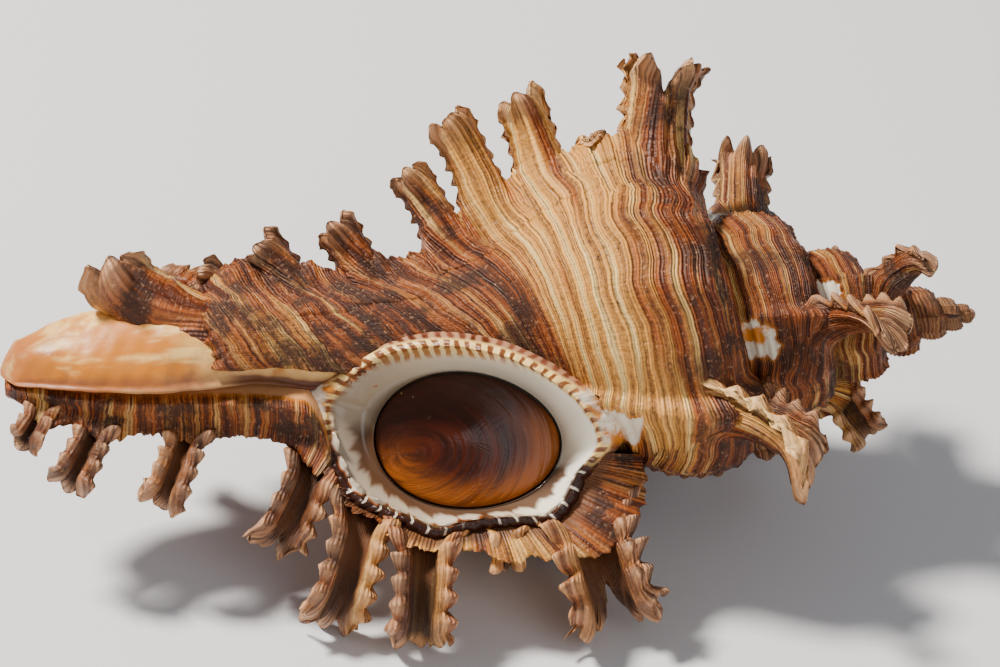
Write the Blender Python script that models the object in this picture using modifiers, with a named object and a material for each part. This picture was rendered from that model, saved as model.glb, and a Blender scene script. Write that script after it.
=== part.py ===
"""Rose-branch murex shell with its operculum, lying on the tips of its fronds.

Run with blender --background --python part.py, or from Blender's text editor.
The long axis of the shell runs along X, from the siphonal canal to the apex.
Angles round that axis start at -Y and rise towards +Z, the way the shell grew.
Shapes are worked out in millimetres and scaled to metres as each mesh is made.
"""

import math

import bmesh
import bpy
import numpy as np
from mathutils import Matrix, Vector

MM = 0.001

# The whole shell
SHELL_LENGTH = 95.0  # canal tip to apex
AXIS_HEIGHT = 20.6  # axis above the surface it lies on
FLOOR_CENTRE = (47.0, -0.6)  # middle of the shell's box, along and across the axis
APEX_AT = 1.0  # where the rounded apex ends

# Growth: an angle of 333 degrees is today's lip, and smaller angles are older shell
LIP_ANGLE = 333.0
VARIX_STEP = 108.7
TOP_VARIX_ANGLE = LIP_ANGLE - 2 * VARIX_STEP
WHORL_GROWTH = 1.55  # size of a whorl over the whorl before it
OLDEST_ANGLE = -1620.0
COLUMNS_PER_TURN = 36
VARIX_RIDGE = 1.0
VARIX_BEHIND, VARIX_AHEAD = 20.0, 8.0  # degrees over which a ridge rises and falls

# Outline of a whorl as (distance from the apex, radius), from its suture to the canal tip
LIP_PROFILE = (
    (34.5, 13.0), (36.2, 15.6), (38.5, 18.4), (42.0, 19.9), (46.0, 20.4), (50.0, 20.2),
    (53.5, 19.0), (57.0, 17.0), (60.0, 14.4), (64.0, 10.4), (70.0, 7.9), (76.0, 7.0),
    (83.0, 6.4), (90.0, 4.9), (95.0, 2.6),
)  # fmt: skip
TOP_PROFILE = (
    (27.2, 10.0), (28.2, 13.2), (29.8, 15.6), (33.0, 16.8), (36.7, 17.0), (40.2, 16.2),
    (43.5, 14.6), (46.8, 12.4), (50.0, 10.2), (56.0, 7.6), (64.0, 6.8), (72.0, 6.6),
    (81.0, 6.2), (88.0, 4.6), (93.0, 2.6),
)  # fmt: skip
SHOWN_STATIONS = 6  # stations of a whorl that the next whorl leaves in sight
CANAL_STATION = 9  # from here on the outline belongs to the canal and no longer coils

# Fronds of the last three varices, from the shoulder to the canal tip:
# base (x, radius), tip (x, radius), degrees that the tip hangs back, stem and head width
LIP_FRONDS = {
    "P1": ((53.6, 16.6), (57.8, 30.2), 14.0, 8.6, 12.2),
    "P2": ((39.4, 16.6), (37.4, 30.6), 15.0, 5.2, 6.8),
    "P3": ((34.6, 14.2), (28.6, 27.6), 22.0, 4.8, 7.4),
    "P4": ((30.4, 9.6), (23.4, 19.0), 26.0, 4.6, 7.0),
    "C1": ((18.2, 5.6), (13.4, 15.0), 14.0, 4.0, 6.6),
    "C2": ((9.6, 4.8), (4.8, 12.6), 12.0, 4.0, 6.0),
    "C3": ((4.2, 3.2), (0.8, 8.2), 8.0, 3.0, 4.0),
}
BACK_FRONDS = {
    "P1": ((59.4, 16.0), (61.2, 30.8), -1.0, 7.6, 11.4),
    "P2": ((49.0, 16.4), (46.8, 30.4), 0.0, 4.8, 6.4),
    "P3": ((42.0, 14.2), (36.8, 30.4), -1.0, 4.6, 6.2),
    "P4": ((36.4, 10.4), (30.2, 20.6), 4.0, 4.4, 6.0),
    "C1": ((26.4, 5.6), (21.2, 14.0), 4.0, 4.2, 5.8),
    "C2": ((17.6, 5.0), (12.6, 12.4), 4.0, 4.0, 5.4),
}
TOP_FRONDS = {
    "P1": ((63.4, 13.8), (65.4, 27.8), 2.0, 7.4, 10.6),
    "P2": ((53.6, 14.4), (50.2, 24.6), 0.0, 4.6, 5.4),
    "P3": ((48.2, 12.8), (43.2, 22.8), 0.0, 4.2, 5.2),
    "P4": ((44.0, 9.4), (39.0, 17.8), 0.0, 3.6, 4.4),
    "C1": ((36.0, 5.8), (31.8, 13.0), 0.0, 4.0, 5.0),
    "C2": ((29.4, 5.2), (24.4, 11.4), 0.0, 4.2, 5.6),
    "C3": ((23.4, 4.8), (18.6, 8.8), 0.0, 4.2, 5.2),
}
# One shoulder frond for each older varix, in the same order, oldest last
SPIRE_FRONDS = (
    ((66.6, 12.4), (76.6, 20.8), 16.0, 7.0, 10.0),
    ((70.4, 10.6), (74.0, 20.2), 2.0, 6.0, 8.0),
    ((72.8, 9.4), (74.4, 20.6), 0.0, 5.4, 7.0),
    ((77.8, 7.6), (85.6, 15.0), 12.0, 5.2, 7.2),
    ((80.4, 6.6), (85.0, 12.4), 4.0, 4.2, 5.6),
    ((81.6, 5.8), (83.4, 12.6), 0.0, 3.8, 5.0),
    ((84.6, 4.8), (89.8, 9.8), 6.0, 3.8, 5.0),
)
FROND_BEHIND = 1.5  # degrees of a frond's base behind the crest of its varix
FROND_WALL, OLD_CANAL_WALL = 1.1, 1.8
FROND_ROWS = 6
CHANNEL_DEPTH = 0.36  # of the fold along a frond at its base, over its width
HEAD_OPENING = 0.6  # share of that fold lost on the way to the tip
ROOT_FLARE = 1.5  # width of a frond's root over its stem's
WIDTHS_AT = (0.0, 0.45, 0.7, 1.0)  # places along a frond of its root, stem, neck and head
# The point that a frond bends round, as shares of the way from base to tip:
# along the axis, outwards and hanging back
BEND = (0.25, 0.62, 0.35)
# How far each column of a frond reaches: its rim is cut into fingers
FINGERS = (0.72, 0.98, 0.84, 1.0, 0.86, 0.97, 0.7)
FORKED = (0.7, 0.9, 0.82, 1.0, 0.9, 0.62, 0.96, 0.84, 0.92, 0.7)
BLUNT = (0.76, 1.0, 0.86, 0.97, 0.74)
FORKED_WIDTH = 7.0  # a stem at least this wide ends in a fork
BLUNT_WIDTH = 4.3  # and one narrower than this in three blunt fingers

# Ends of earlier canals that stand out beside today's: path points (x, radius), angle, widths
OLD_CANALS = {
    "upper": (((25.0, 2.6), (16.0, 5.0), (11.0, 12.0)), 92.0, 5.6, 5.0),
    "rear": (((24.0, 3.0), (18.0, 6.0), (15.0, 11.4)), 171.0, 4.6, 4.0),
}

# The mouth: ovals from its rim inwards, on a line that leans 35 degrees up towards -Y
MOUTH_LEAN = 35.0
# (x centre, offset down, offset out along the line), (half length, half height)
MOUTH_RINGS = (
    ((46.4, 8.2, 15.0), (16.0, 10.8)),
    ((45.4, 8.0, 9.6), (14.6, 9.6)),
    ((44.8, 8.5, 6.6), (12.2, 8.4)),
    ((44.6, 9.0, 4.6), (9.7, 7.2)),
    ((44.8, 9.4, 2.0), (9.3, 6.9)),
    ((46.6, 10.0, -1.2), (7.2, 5.4)),
    ((48.0, 10.6, -3.6), (4.0, 3.0)),
)
MOUTH_TURN = 8.0  # degrees that the ovals dip towards the apex
MOUTH_POINTS = 24
OPERCULUM_CENTRE = (44.7, 9.1, 3.6)
OPERCULUM_HALF = (9.0, 6.4, 0.9)
OPERCULUM_EGG = 0.06  # how much narrower its far end is

# The slit of the canal, from the mouth to the tip
SLIT_WIDTH = 1.1
SLIT_FROM, SLIT_TO = -1.0, 34.0
SLIT_FLOOR, SLIT_REACH = 1.8, 20.0  # from the axis, at its bottom and past its mouth
SLIT_ANGLE = 4.0

FLOOR_CUT = (200.0, 120.0, 20.0)  # the block under the floor: all that it wears away

SHELL_COLOUR = (0.62, 0.36, 0.16, 1.0)
OPERCULUM_COLOUR = (0.16, 0.045, 0.012, 1.0)


def around(x, radius, angle):
    """A point at a place along the axis, a distance from it and an angle round it."""
    turn = math.radians(angle)
    return Vector((x, -radius * math.cos(turn), radius * math.sin(turn)))


def to_world(point):
    """From the shell's own axis, in millimetres, to metres over the surface it lies on."""
    shift = Vector((-FLOOR_CENTRE[0], -FLOOR_CENTRE[1], AXIS_HEIGHT))
    return (Vector(point) + shift) * MM


def material(name, colour, roughness):
    made = bpy.data.materials.new(name)
    made.use_nodes = True
    shader = made.node_tree.nodes["Principled BSDF"]
    shader.inputs["Base Color"].default_value = colour
    shader.inputs["Roughness"].default_value = roughness
    shader.inputs["Metallic"].default_value = 0.0
    made.diffuse_color = colour
    return made


def collection(name):
    made = bpy.data.collections.new(name)
    bpy.context.scene.collection.children.link(made)
    return made


def add_object(name, bm, home, looks):
    """A mesh object from bmesh geometry in the shell's axis frame."""
    bm.normal_update()
    bmesh.ops.recalc_face_normals(bm, faces=bm.faces)
    for vert in bm.verts:
        vert.co = to_world(vert.co)
    mesh = bpy.data.meshes.new(name)
    bm.to_mesh(mesh)
    bm.free()
    mesh.materials.append(looks)
    made = bpy.data.objects.new(name, mesh)
    home.objects.link(made)
    return made


def hide(helper):
    helper.hide_render = True
    helper.display_type = "WIRE"
    return helper


def varix_ridge(angle):
    """Height of the ridge at an angle, as a share: a slow rise to each varix and a quick fall."""
    behind = (LIP_ANGLE - angle) % VARIX_STEP
    ahead = VARIX_STEP - behind
    return max(0.0, 1 - behind / VARIX_BEHIND, 1 - ahead / VARIX_AHEAD)


def whorl_point(station, angle):
    """(distance from the apex, radius) of one station of the whorl outline at an angle.

    Up to the top varix the outline only grows in proportion, apart from the canal, which
    stays where it is. From there to the lip it passes smoothly into the lip's own outline.
    """
    top, lip = np.array(TOP_PROFILE[station]), np.array(LIP_PROFILE[station])
    if angle > TOP_VARIX_ANGLE:
        share = (angle - TOP_VARIX_ANGLE) / (LIP_ANGLE - TOP_VARIX_ANGLE)
        along, radius = top ** (1 - share) * lip**share
        scale = 1.0
    else:
        coiling = float(np.clip(CANAL_STATION + 1 - station, 0, 2)) / 2
        scale = WHORL_GROWTH ** ((angle - TOP_VARIX_ANGLE) / 360 * coiling)
        along, radius = top * scale
    fade = min(station, len(LIP_PROFILE) - 1 - station, 3) / 3
    return along, radius + VARIX_RIDGE * scale * fade * varix_ridge(angle)


def build_whorls(home, looks):
    """The coiled wall as one strip of faces from the apex to the lip.

    Each column of the strip is a whorl outline. Where a later whorl covers it, a column
    stops after its shown stations and meets the next whorl's suture.
    """
    columns = round((LIP_ANGLE - OLDEST_ANGLE) / 360 * COLUMNS_PER_TURN)
    bm = bmesh.new()
    grid = []
    for column in range(columns + 1):
        angle = LIP_ANGLE - (columns - column) * 360 / COLUMNS_PER_TURN
        last_turn = column >= columns - COLUMNS_PER_TURN
        stations = len(LIP_PROFILE) if last_turn else SHOWN_STATIONS
        outline = [whorl_point(station, angle) for station in range(stations)]
        grid.append([bm.verts.new(around(SHELL_LENGTH - a, r, angle)) for a, r in outline])
    for column in range(columns):
        here, there = list(grid[column]), list(grid[column + 1])
        below = column + COLUMNS_PER_TURN
        if below < columns:
            here = here[:SHOWN_STATIONS] + [grid[below][0]]
            there = there[:SHOWN_STATIONS] + [grid[below + 1][0]]
        for i in range(len(here) - 1):
            bm.faces.new((here[i], here[i + 1], there[i + 1], there[i]))
    apex = bm.verts.new((SHELL_LENGTH - APEX_AT, 0, 0))
    for column in range(COLUMNS_PER_TURN):
        bm.faces.new((apex, grid[column][0], grid[column + 1][0]))
    start = [apex] + grid[0] + [grid[COLUMNS_PER_TURN][0]]
    last, before = grid[columns], grid[columns - COLUMNS_PER_TURN]
    lip_wall = last + before[: SHOWN_STATIONS - 2 : -1]
    tip = bm.verts.new((SHELL_LENGTH - LIP_PROFILE[-1][0], 0, 0))
    ring = [outline[-1] for outline in grid[columns - COLUMNS_PER_TURN :]]
    for one, other in zip(ring, ring[1:] + ring[:1]):
        bm.faces.new((tip, one, other))
    flat = [bm.faces.new(start), bm.faces.new(lip_wall)]
    bmesh.ops.triangulate(bm, faces=flat)
    return add_object("shell", bm, home, looks)


def bezier(points, t):
    """A point on the quadratic curve through the first and last of three points."""
    first, middle, last = points
    return first * (1 - t) ** 2 + middle * 2 * t * (1 - t) + last * t**2


def slope(points, t):
    first, middle, last = points
    return ((middle - first) * (1 - t) + (last - middle) * t).normalized()


def build_blade(name, path, widths, reach, wall, home, looks):
    """A folded sheet along a curve: a channel that opens the way the shell grew.

    widths are the full widths at the root, stem, neck and head, and reach says how far
    along the curve each column of the sheet runs. Solidify gives the sheet its wall.
    """
    across_axis = Vector((1, 0, 0))
    bm = bmesh.new()
    rows = []
    for row in range(FROND_ROWS):
        share = row / (FROND_ROWS - 1)
        points = []
        for column, length in enumerate(reach):
            w = 2 * column / (len(reach) - 1) - 1
            t = share * length
            along = slope(path, t)
            across = (across_axis - along * across_axis.dot(along)).normalized()
            ahead = along.cross(across)
            half = 0.5 * float(np.interp(t, WIDTHS_AT, widths))
            fold = 2 * half * CHANNEL_DEPTH * (1 - HEAD_OPENING * t)
            points.append(bezier(path, t) + across * (w * half) + ahead * (fold * w * w))
        rows.append([bm.verts.new(point) for point in points])
    for low, high in zip(rows, rows[1:]):
        for i in range(len(reach) - 1):
            bm.faces.new((low[i], low[i + 1], high[i + 1], high[i]))
    blade = hide(add_object(name, bm, home, looks))
    solid = blade.modifiers.new("wall", "SOLIDIFY")
    solid.thickness = wall * MM
    solid.offset = 0.0
    return blade


def build_frond(name, angle, base, tip, hang, stem, head, home, looks):
    """A frond from a varix: out from its base, then bending to its tip."""
    middle_x = base[0] + BEND[0] * (tip[0] - base[0])
    middle_radius = base[1] + BEND[1] * (tip[1] - base[1])
    middle = around(middle_x, middle_radius, angle - BEND[2] * hang)
    path = (around(*base, angle), middle, around(*tip, angle - hang))
    widths = (ROOT_FLARE * stem, stem, stem, head)
    reach = FORKED if stem >= FORKED_WIDTH else BLUNT if stem < BLUNT_WIDTH else FINGERS
    return build_blade(name, path, widths, reach, FROND_WALL, home, looks)


def build_fronds(home, looks):
    for number, fronds in enumerate((LIP_FRONDS, BACK_FRONDS, TOP_FRONDS)):
        angle = LIP_ANGLE - number * VARIX_STEP - FROND_BEHIND
        for label, sizes in fronds.items():
            build_frond(f"frond_{number}_{label}", angle, *sizes, home, looks)
    for number, sizes in enumerate(SPIRE_FRONDS):
        angle = LIP_ANGLE - (number + 3) * VARIX_STEP - FROND_BEHIND
        build_frond(f"frond_spire_{number}", angle, *sizes, home, looks)
    for label, (points, angle, stem, head) in OLD_CANALS.items():
        path = tuple(around(x, radius, angle) for x, radius in points)
        widths = (stem, stem, stem, head)
        name = f"old_canal_{label}"
        build_blade(name, path, widths, FINGERS[1:-1], OLD_CANAL_WALL, home, looks)


def mouth_point(centre, along, across, lift=0.0):
    """A point of an oval of the mouth, from its centre: along it, across it and out of it.

    A centre is given along the axis, then down and out on the mouth's leaning line.
    """
    turn, lean = math.radians(MOUTH_TURN), math.radians(MOUTH_LEAN)
    x = centre[0] + along * math.cos(turn) - across * math.sin(turn)
    down = centre[1] + along * math.sin(turn) + across * math.cos(turn)
    out = centre[2] + lift
    away = down * math.sin(lean) + out * math.cos(lean)
    return Vector((x, -away, out * math.sin(lean) - down * math.cos(lean)))


def build_mouth(home, looks):
    """The hollow of the mouth, as a solid that is cut out: ovals carried from the rim inwards."""
    bm = bmesh.new()
    rings = []
    for centre, half in MOUTH_RINGS:
        ring = []
        for i in range(MOUTH_POINTS):
            turn = 2 * math.pi * i / MOUTH_POINTS
            along, across = half[0] * math.cos(turn), half[1] * math.sin(turn)
            ring.append(bm.verts.new(mouth_point(centre, along, across)))
        rings.append(ring)
    for near, far in zip(rings, rings[1:]):
        for i in range(MOUTH_POINTS):
            j = (i + 1) % MOUTH_POINTS
            bm.faces.new((near[i], near[j], far[j], far[i]))
    bm.faces.new(rings[0])
    bm.faces.new(rings[-1])
    return hide(add_object("mouth_hollow", bm, home, looks))


def build_slit(home, looks):
    """The narrow slot along the canal, as a solid that is cut out."""
    bm = bmesh.new()
    bmesh.ops.create_cube(bm, size=1.0)
    deep = SLIT_REACH - SLIT_FLOOR
    size = Matrix.Diagonal((SLIT_TO - SLIT_FROM, deep, SLIT_WIDTH, 1.0))
    middle = ((SLIT_FROM + SLIT_TO) / 2, -(SLIT_FLOOR + SLIT_REACH) / 2, 0)
    place = Matrix.Translation(middle)
    turn = Matrix.Rotation(-math.radians(SLIT_ANGLE), 4, "X")
    bmesh.ops.transform(bm, matrix=turn @ place @ size, verts=bm.verts)
    return hide(add_object("canal_slit", bm, home, looks))


def build_floor_cut(home, looks):
    """Everything under the surface that the shell lies on: it wears the lowest tips flat."""
    bm = bmesh.new()
    bmesh.ops.create_cube(bm, size=1.0)
    size = Matrix.Diagonal((*FLOOR_CUT, 1.0))
    place = Matrix.Translation((SHELL_LENGTH / 2, 0, -AXIS_HEIGHT - FLOOR_CUT[2] / 2))
    bmesh.ops.transform(bm, matrix=place @ size, verts=bm.verts)
    return hide(add_object("floor_cut", bm, home, looks))


def boolean(obj, operation, **what):
    step = obj.modifiers.new(operation.lower(), "BOOLEAN")
    step.operation = operation
    step.solver = "EXACT"
    for key, value in what.items():
        setattr(step, key, value)
    return step


def build_operculum(home, looks):
    """The horny door that closes the mouth: a flat lens with an egg-shaped outline."""
    bm = bmesh.new()
    bmesh.ops.create_uvsphere(bm, u_segments=28, v_segments=10, radius=1.0)
    for vert in bm.verts:
        along, across, lift = (size * half for size, half in zip(vert.co, OPERCULUM_HALF))
        narrow = 1 - OPERCULUM_EGG * vert.co.x
        vert.co = mouth_point(OPERCULUM_CENTRE, along, across * narrow, lift)
    made = add_object("operculum", bm, home, looks)
    made.data.shade_smooth()
    return made


def main():
    for old in list(bpy.data.objects):
        bpy.data.objects.remove(old)
    parts = collection("murex_shell")
    growths = collection("fronds")
    cutters = collection("cutters")
    shell_looks = material("shell", SHELL_COLOUR, 0.55)
    horn_looks = material("operculum", OPERCULUM_COLOUR, 0.25)
    shell = build_whorls(parts, shell_looks)
    build_fronds(growths, shell_looks)
    boolean(shell, "UNION", operand_type="COLLECTION", collection=growths)
    for cutter in (build_mouth, build_slit, build_floor_cut):
        boolean(shell, "DIFFERENCE", object=cutter(cutters, shell_looks))
    build_operculum(parts, horn_looks)


main()
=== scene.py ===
"""Looks of a rose-branch murex shell that lies on the tips of its fronds.

The shell is worked out round its own axis, in millimetres: x runs along the axis from the
canal tip to the apex, and an angle round it starts at -Y, rises towards +Z and grows with
the shell. Every surface is a grid of two parameters, computed as whole arrays.
"""

import math

import bpy
import numpy as np
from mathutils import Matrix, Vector


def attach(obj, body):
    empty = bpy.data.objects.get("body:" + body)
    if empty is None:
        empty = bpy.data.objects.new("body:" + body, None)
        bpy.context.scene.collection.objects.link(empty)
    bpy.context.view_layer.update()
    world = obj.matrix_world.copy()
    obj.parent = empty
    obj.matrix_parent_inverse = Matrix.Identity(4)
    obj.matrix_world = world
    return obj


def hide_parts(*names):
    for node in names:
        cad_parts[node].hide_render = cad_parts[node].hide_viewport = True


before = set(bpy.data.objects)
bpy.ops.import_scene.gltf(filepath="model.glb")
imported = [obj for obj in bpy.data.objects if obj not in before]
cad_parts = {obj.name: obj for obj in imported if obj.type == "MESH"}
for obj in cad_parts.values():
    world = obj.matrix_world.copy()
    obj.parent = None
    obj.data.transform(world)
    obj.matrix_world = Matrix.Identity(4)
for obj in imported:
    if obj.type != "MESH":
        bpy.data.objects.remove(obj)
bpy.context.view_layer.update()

bl_info = {
    "name": "Rose-branch murex shell",
    "version": (1, 0, 0),
    "blender": (4, 5, 0),
    "location": "3D View > Sidebar > Murex",
    "description": "Builds the corded whorls, fronds, mouth and operculum of a murex shell",
    "category": "Add Mesh",
}

MM = 0.001
BODY = "root"

# The shell's axis over the surface that it lies on
SHELL_LENGTH = 95.0
AXIS_HEIGHT = 20.6
FLOOR_CENTRE = (47.0, -0.6)

# Growth round the axis, in degrees: the lip is newest, and smaller angles are older
LIP_ANGLE = 333.0
VARIX_STEP = 108.7
TOP_ANGLE = LIP_ANGLE - 2 * VARIX_STEP
JOIN_ANGLE = LIP_ANGLE - 3 * VARIX_STEP + 3.0  # just past a varix, where spire meets whorl
OLDEST_ANGLE = -2330.0
WHORL_GROWTH = 1.55
GROWTH_RADIUS = 17.0  # growth in degrees is turned to millimetres on this circle

# Relief of the whorls in millimetres: the humps between varices, the thin fin along a
# varix's crest and the distance between the scales that cross the cords
HUMP_HEIGHT = 0.75
FIN_HEIGHT = 0.55
SCALE_PITCH = 1.15
FLOOR_CLEARANCE = 0.02  # frond tips are flattened at this height over the floor

# Outline of a whorl as (distance from the apex, radius), from its suture to the canal tip
LIP_PROFILE = np.array((
    (34.5, 13.0), (36.2, 15.6), (38.5, 18.4), (42.0, 19.9), (46.0, 20.4), (50.0, 20.2),
    (53.5, 19.0), (57.0, 17.0), (60.0, 14.4), (64.0, 10.4), (70.0, 7.9), (76.0, 7.0),
    (83.0, 6.3), (90.0, 4.5), (95.0, 2.4),
))  # fmt: skip
TOP_PROFILE = np.array((
    (27.2, 10.0), (28.2, 13.2), (29.8, 15.6), (33.0, 16.8), (36.7, 17.0), (40.2, 16.2),
    (43.5, 14.6), (46.8, 12.4), (50.0, 10.2), (56.0, 7.6), (64.0, 6.8), (72.0, 6.6),
    (81.0, 6.1), (88.0, 4.2), (93.0, 2.4),
))  # fmt: skip
# A cord is named by its distance in millimetres from the suture, along the top outline
STATION_CORDS = np.concatenate(
    ([0.0], np.cumsum(np.hypot(*np.diff(TOP_PROFILE, axis=0).T)))
)
COILING_CORD, CANAL_CORD = STATION_CORDS[8], STATION_CORDS[10]
TIP_CORD = STATION_CORDS[-1]

# Fronds of a varix: base (x, radius), tip (x, radius), degrees the tip hangs back,
# stem width, head width, fingers
LIP_FRONDS = (
    ((53.6, 17.2), (57.6, 29.3), 14.0, 8.4, 12.0, 6),
    ((39.4, 17.4), (37.4, 30.2), 15.0, 5.8, 7.0, 4),
    ((34.6, 14.8), (28.6, 27.2), 22.0, 5.6, 7.8, 4),
    ((30.4, 10.2), (23.4, 18.8), 26.0, 5.0, 7.4, 4),
    ((18.2, 6.0), (13.4, 14.8), 14.0, 4.0, 6.4, 3),
    ((9.6, 5.2), (4.8, 12.4), 12.0, 3.8, 5.8, 3),
    ((4.2, 3.6), (0.9, 8.0), 8.0, 3.0, 3.8, 2),
    ((46.6, 19.6), (46.6, 23.0), 10.0, 3.0, 3.4, 2),
)
BACK_FRONDS = (
    ((59.4, 16.6), (61.2, 28.4), -1.0, 7.4, 11.2, 6),
    ((49.0, 17.2), (46.8, 29.0), 0.0, 4.8, 6.4, 4),
    ((42.0, 14.8), (36.8, 28.8), -1.0, 4.6, 6.2, 4),
    ((36.4, 11.0), (30.2, 20.4), 4.0, 4.4, 6.0, 3),
    ((26.4, 6.0), (21.2, 13.8), 4.0, 4.2, 5.8, 3),
    ((17.6, 5.4), (12.6, 12.2), 4.0, 4.0, 5.4, 3),
    ((54.4, 18.0), (54.6, 21.4), 0.0, 3.0, 3.4, 2),
)
TOP_FRONDS = (
    ((63.4, 14.4), (65.6, 27.8), 2.0, 7.2, 10.8, 6),
    ((53.4, 15.2), (50.4, 24.7), 0.0, 4.8, 5.6, 3),
    ((48.0, 13.4), (43.2, 22.9), 0.0, 4.4, 5.4, 3),
    ((43.8, 10.2), (39.0, 17.8), 0.0, 3.8, 4.6, 3),
    ((36.0, 6.2), (31.8, 13.0), 0.0, 4.0, 5.0, 3),
    ((29.4, 5.6), (24.4, 11.4), 0.0, 4.2, 5.6, 3),
    ((23.4, 5.2), (18.6, 8.8), 0.0, 4.2, 5.4, 3),
    ((58.3, 16.8), (57.4, 20.0), 2.0, 2.8, 3.4, 2),
)
SPIRE_FRONDS = (
    ((66.6, 12.8), (76.6, 20.8), 16.0, 7.6, 11.0, 5),
    ((70.4, 11.0), (74.0, 20.0), 2.0, 6.0, 8.0, 4),
    ((72.8, 9.8), (74.4, 20.4), 0.0, 5.4, 7.0, 4),
    ((77.8, 8.0), (85.4, 14.8), 12.0, 5.2, 7.2, 4),
    ((80.4, 7.0), (85.0, 12.2), 4.0, 4.2, 5.6, 3),
    ((81.6, 6.2), (83.4, 12.4), 0.0, 3.8, 5.0, 3),
    ((84.6, 5.2), (89.6, 9.6), 6.0, 3.8, 5.0, 3),
)

# The mouth's own frame: x, then down and out on a line that leans up towards -Y
MOUTH_LEAN = math.radians(35.0)
# Crest of the mouth's rim as (x, down, out), from the canal round the outer lip
RIM = np.array((
    (30.4, 5.0, 4.6), (30.5, 8.9, 5.0), (31.6, 12.1, 5.8), (33.2, 14.0, 6.8), (35.3, 15.2, 7.6),
    (37.8, 16.3, 8.5), (40.0, 17.3, 9.1), (42.5, 16.9, 9.3), (45.1, 16.6, 9.3), (48.0, 16.7, 9.1),
    (50.8, 16.7, 8.9), (52.6, 15.2, 8.7), (53.6, 13.2, 8.8), (54.7, 11.8, 9.4), (55.9, 10.2, 10.2),
    (55.7, 8.5, 11.2), (54.8, 7.0, 11.8), (53.6, 5.4, 12.1), (51.4, 3.6, 12.0), (49.3, 2.2, 11.4),
    (46.5, 0.9, 10.5), (42.1, -0.1, 9.2), (38.0, 0.0, 7.9), (35.3, 0.7, 6.8), (33.1, 2.0, 6.0),
    (31.4, 3.6, 5.3),
))  # fmt: skip
RIM_MIDDLE = RIM[:, :2].mean(axis=0)
BOWL_MIDDLE = np.array((44.0, 8.6))
OPERCULUM_CENTRE = (43.9, 9.2, 3.6)
OPERCULUM_HALF = (8.9, 6.4, 0.9)
OPERCULUM_TURN = math.radians(8.0)
OPERCULUM_EGG = 0.06
OPERCULUM_START = (38.5, 10.0)  # where its growth lines start, as x and down
STREAK_CENTRE_X = 37.0  # the streaks turn round a place a little nearer the canal

SLIT_ANGLE = 8.0
CANAL_TIP = np.array((0.3, 0.0, 0.0))
CAP_COLUMNS = 6  # columns of the dome that closes the canal's tip
SHEET_SIDE = (1.0, 0.0, 0.0)  # the sheet of a frond spreads along the axis
NEAR_SPIRE_SIDE = (0.76, 0.45, -0.46)  # the spire frond by the mouth is turned about its line

CAMERA_TARGET = Vector((0.0009, 0.0006, 0.0217))
# Lights as name, place, width, share of the key's power and colour
LIGHTS = (
    ("key", (-0.30, 0.12, 0.55), 0.12, 1.0, (1.0, 0.95, 0.88)),
    ("fill", (0.25, -0.55, 0.35), 0.5, 0.16, (0.95, 0.97, 1.0)),
)
FLOOR_REACH = 2.0
FLOOR_COLOUR = (0.71, 0.71, 0.72)
SKY_COLOUR = (0.9, 0.93, 1.0)
SKY_STRENGTH = 0.26


def length_setting(name, description, default):
    """A length in metres that a user may change."""
    return bpy.props.FloatProperty(
        name=name, description=description, default=default, unit="LENGTH"
    )


def angle_setting(name, description, degrees):
    """An angle that a user may change."""
    return bpy.props.FloatProperty(
        name=name, description=description, default=math.radians(degrees), subtype="ANGLE"
    )


def colour_setting(name, description, default):
    """A colour that a user may change."""
    return bpy.props.FloatVectorProperty(
        name=name, description=description, default=default, subtype="COLOR"
    )


class ShellSizes(bpy.types.PropertyGroup):
    """Sizes of the shell's relief"""

    cord_pitch: length_setting(
        "Cord pitch", "Distance between two main spiral cords on the last whorl", 0.0021
    )
    cord_height: length_setting("Cord height", "Height of the main spiral cords", 0.00026)
    ridge_height: length_setting("Ridge height", "Height of a varix over the whorl", 0.0011)
    frond_wall: length_setting("Frond wall", "Thickness of a frond's folded sheet", 0.0011)


class ShellColours(bpy.types.PropertyGroup):
    """Colours of the shell and its operculum"""

    cream: colour_setting("Cream", "Palest crests of the cords", (1.0, 0.67, 0.23))
    honey: colour_setting("Honey", "Ground colour of the shell", (0.88, 0.40, 0.075))
    amber: colour_setting("Amber", "Orange brown zones of the shell", (0.36, 0.085, 0.012))
    russet: colour_setting("Russet", "Fine lines along the cords", (0.080, 0.014, 0.003))
    # Sepia and umber darken the fronds' channels as painted shade; umber elsewhere is the cords'
    # own dark
    sepia: colour_setting("Sepia", "Lighter parts of the fronds' channels", (0.16, 0.060, 0.022))
    umber: colour_setting("Umber", "Dark channels and worn dark cords", (0.035, 0.014, 0.008))
    rose: colour_setting("Rose", "Pinkish beige of the frond tips", (0.70, 0.38, 0.20))
    enamel: colour_setting("Enamel", "Glossy white of the mouth", (0.82, 0.72, 0.56))
    # Pearl is partly the enamel's own white and partly painted light on the lit side of the mouth
    pearl_and_light: colour_setting(
        "Pearl", "Whitest enamel, at the spire's end of the mouth", (1.0, 0.95, 0.80)
    )
    # Dun is partly a tan stain of the mouth's wall and partly painted shade
    dun_and_shade: colour_setting("Dun", "Mouth wall beside the operculum", (0.09, 0.038, 0.017))
    spot: colour_setting(
        "Spot", "Drop-like spots between the folds of the rim", (0.16, 0.035, 0.008)
    )
    rim: colour_setting("Rim", "Dark edge of the lip", (0.030, 0.008, 0.004))
    apricot: colour_setting("Apricot", "Smooth glaze along the canal", (0.60, 0.19, 0.013))
    rust: colour_setting("Rust", "Borders of the glaze", (0.24, 0.075, 0.04))
    horn: colour_setting("Horn", "Brown of the operculum", (0.085, 0.014, 0.004))
    resin: colour_setting("Resin", "Lighter edge of the operculum", (0.38, 0.10, 0.010))


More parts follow.
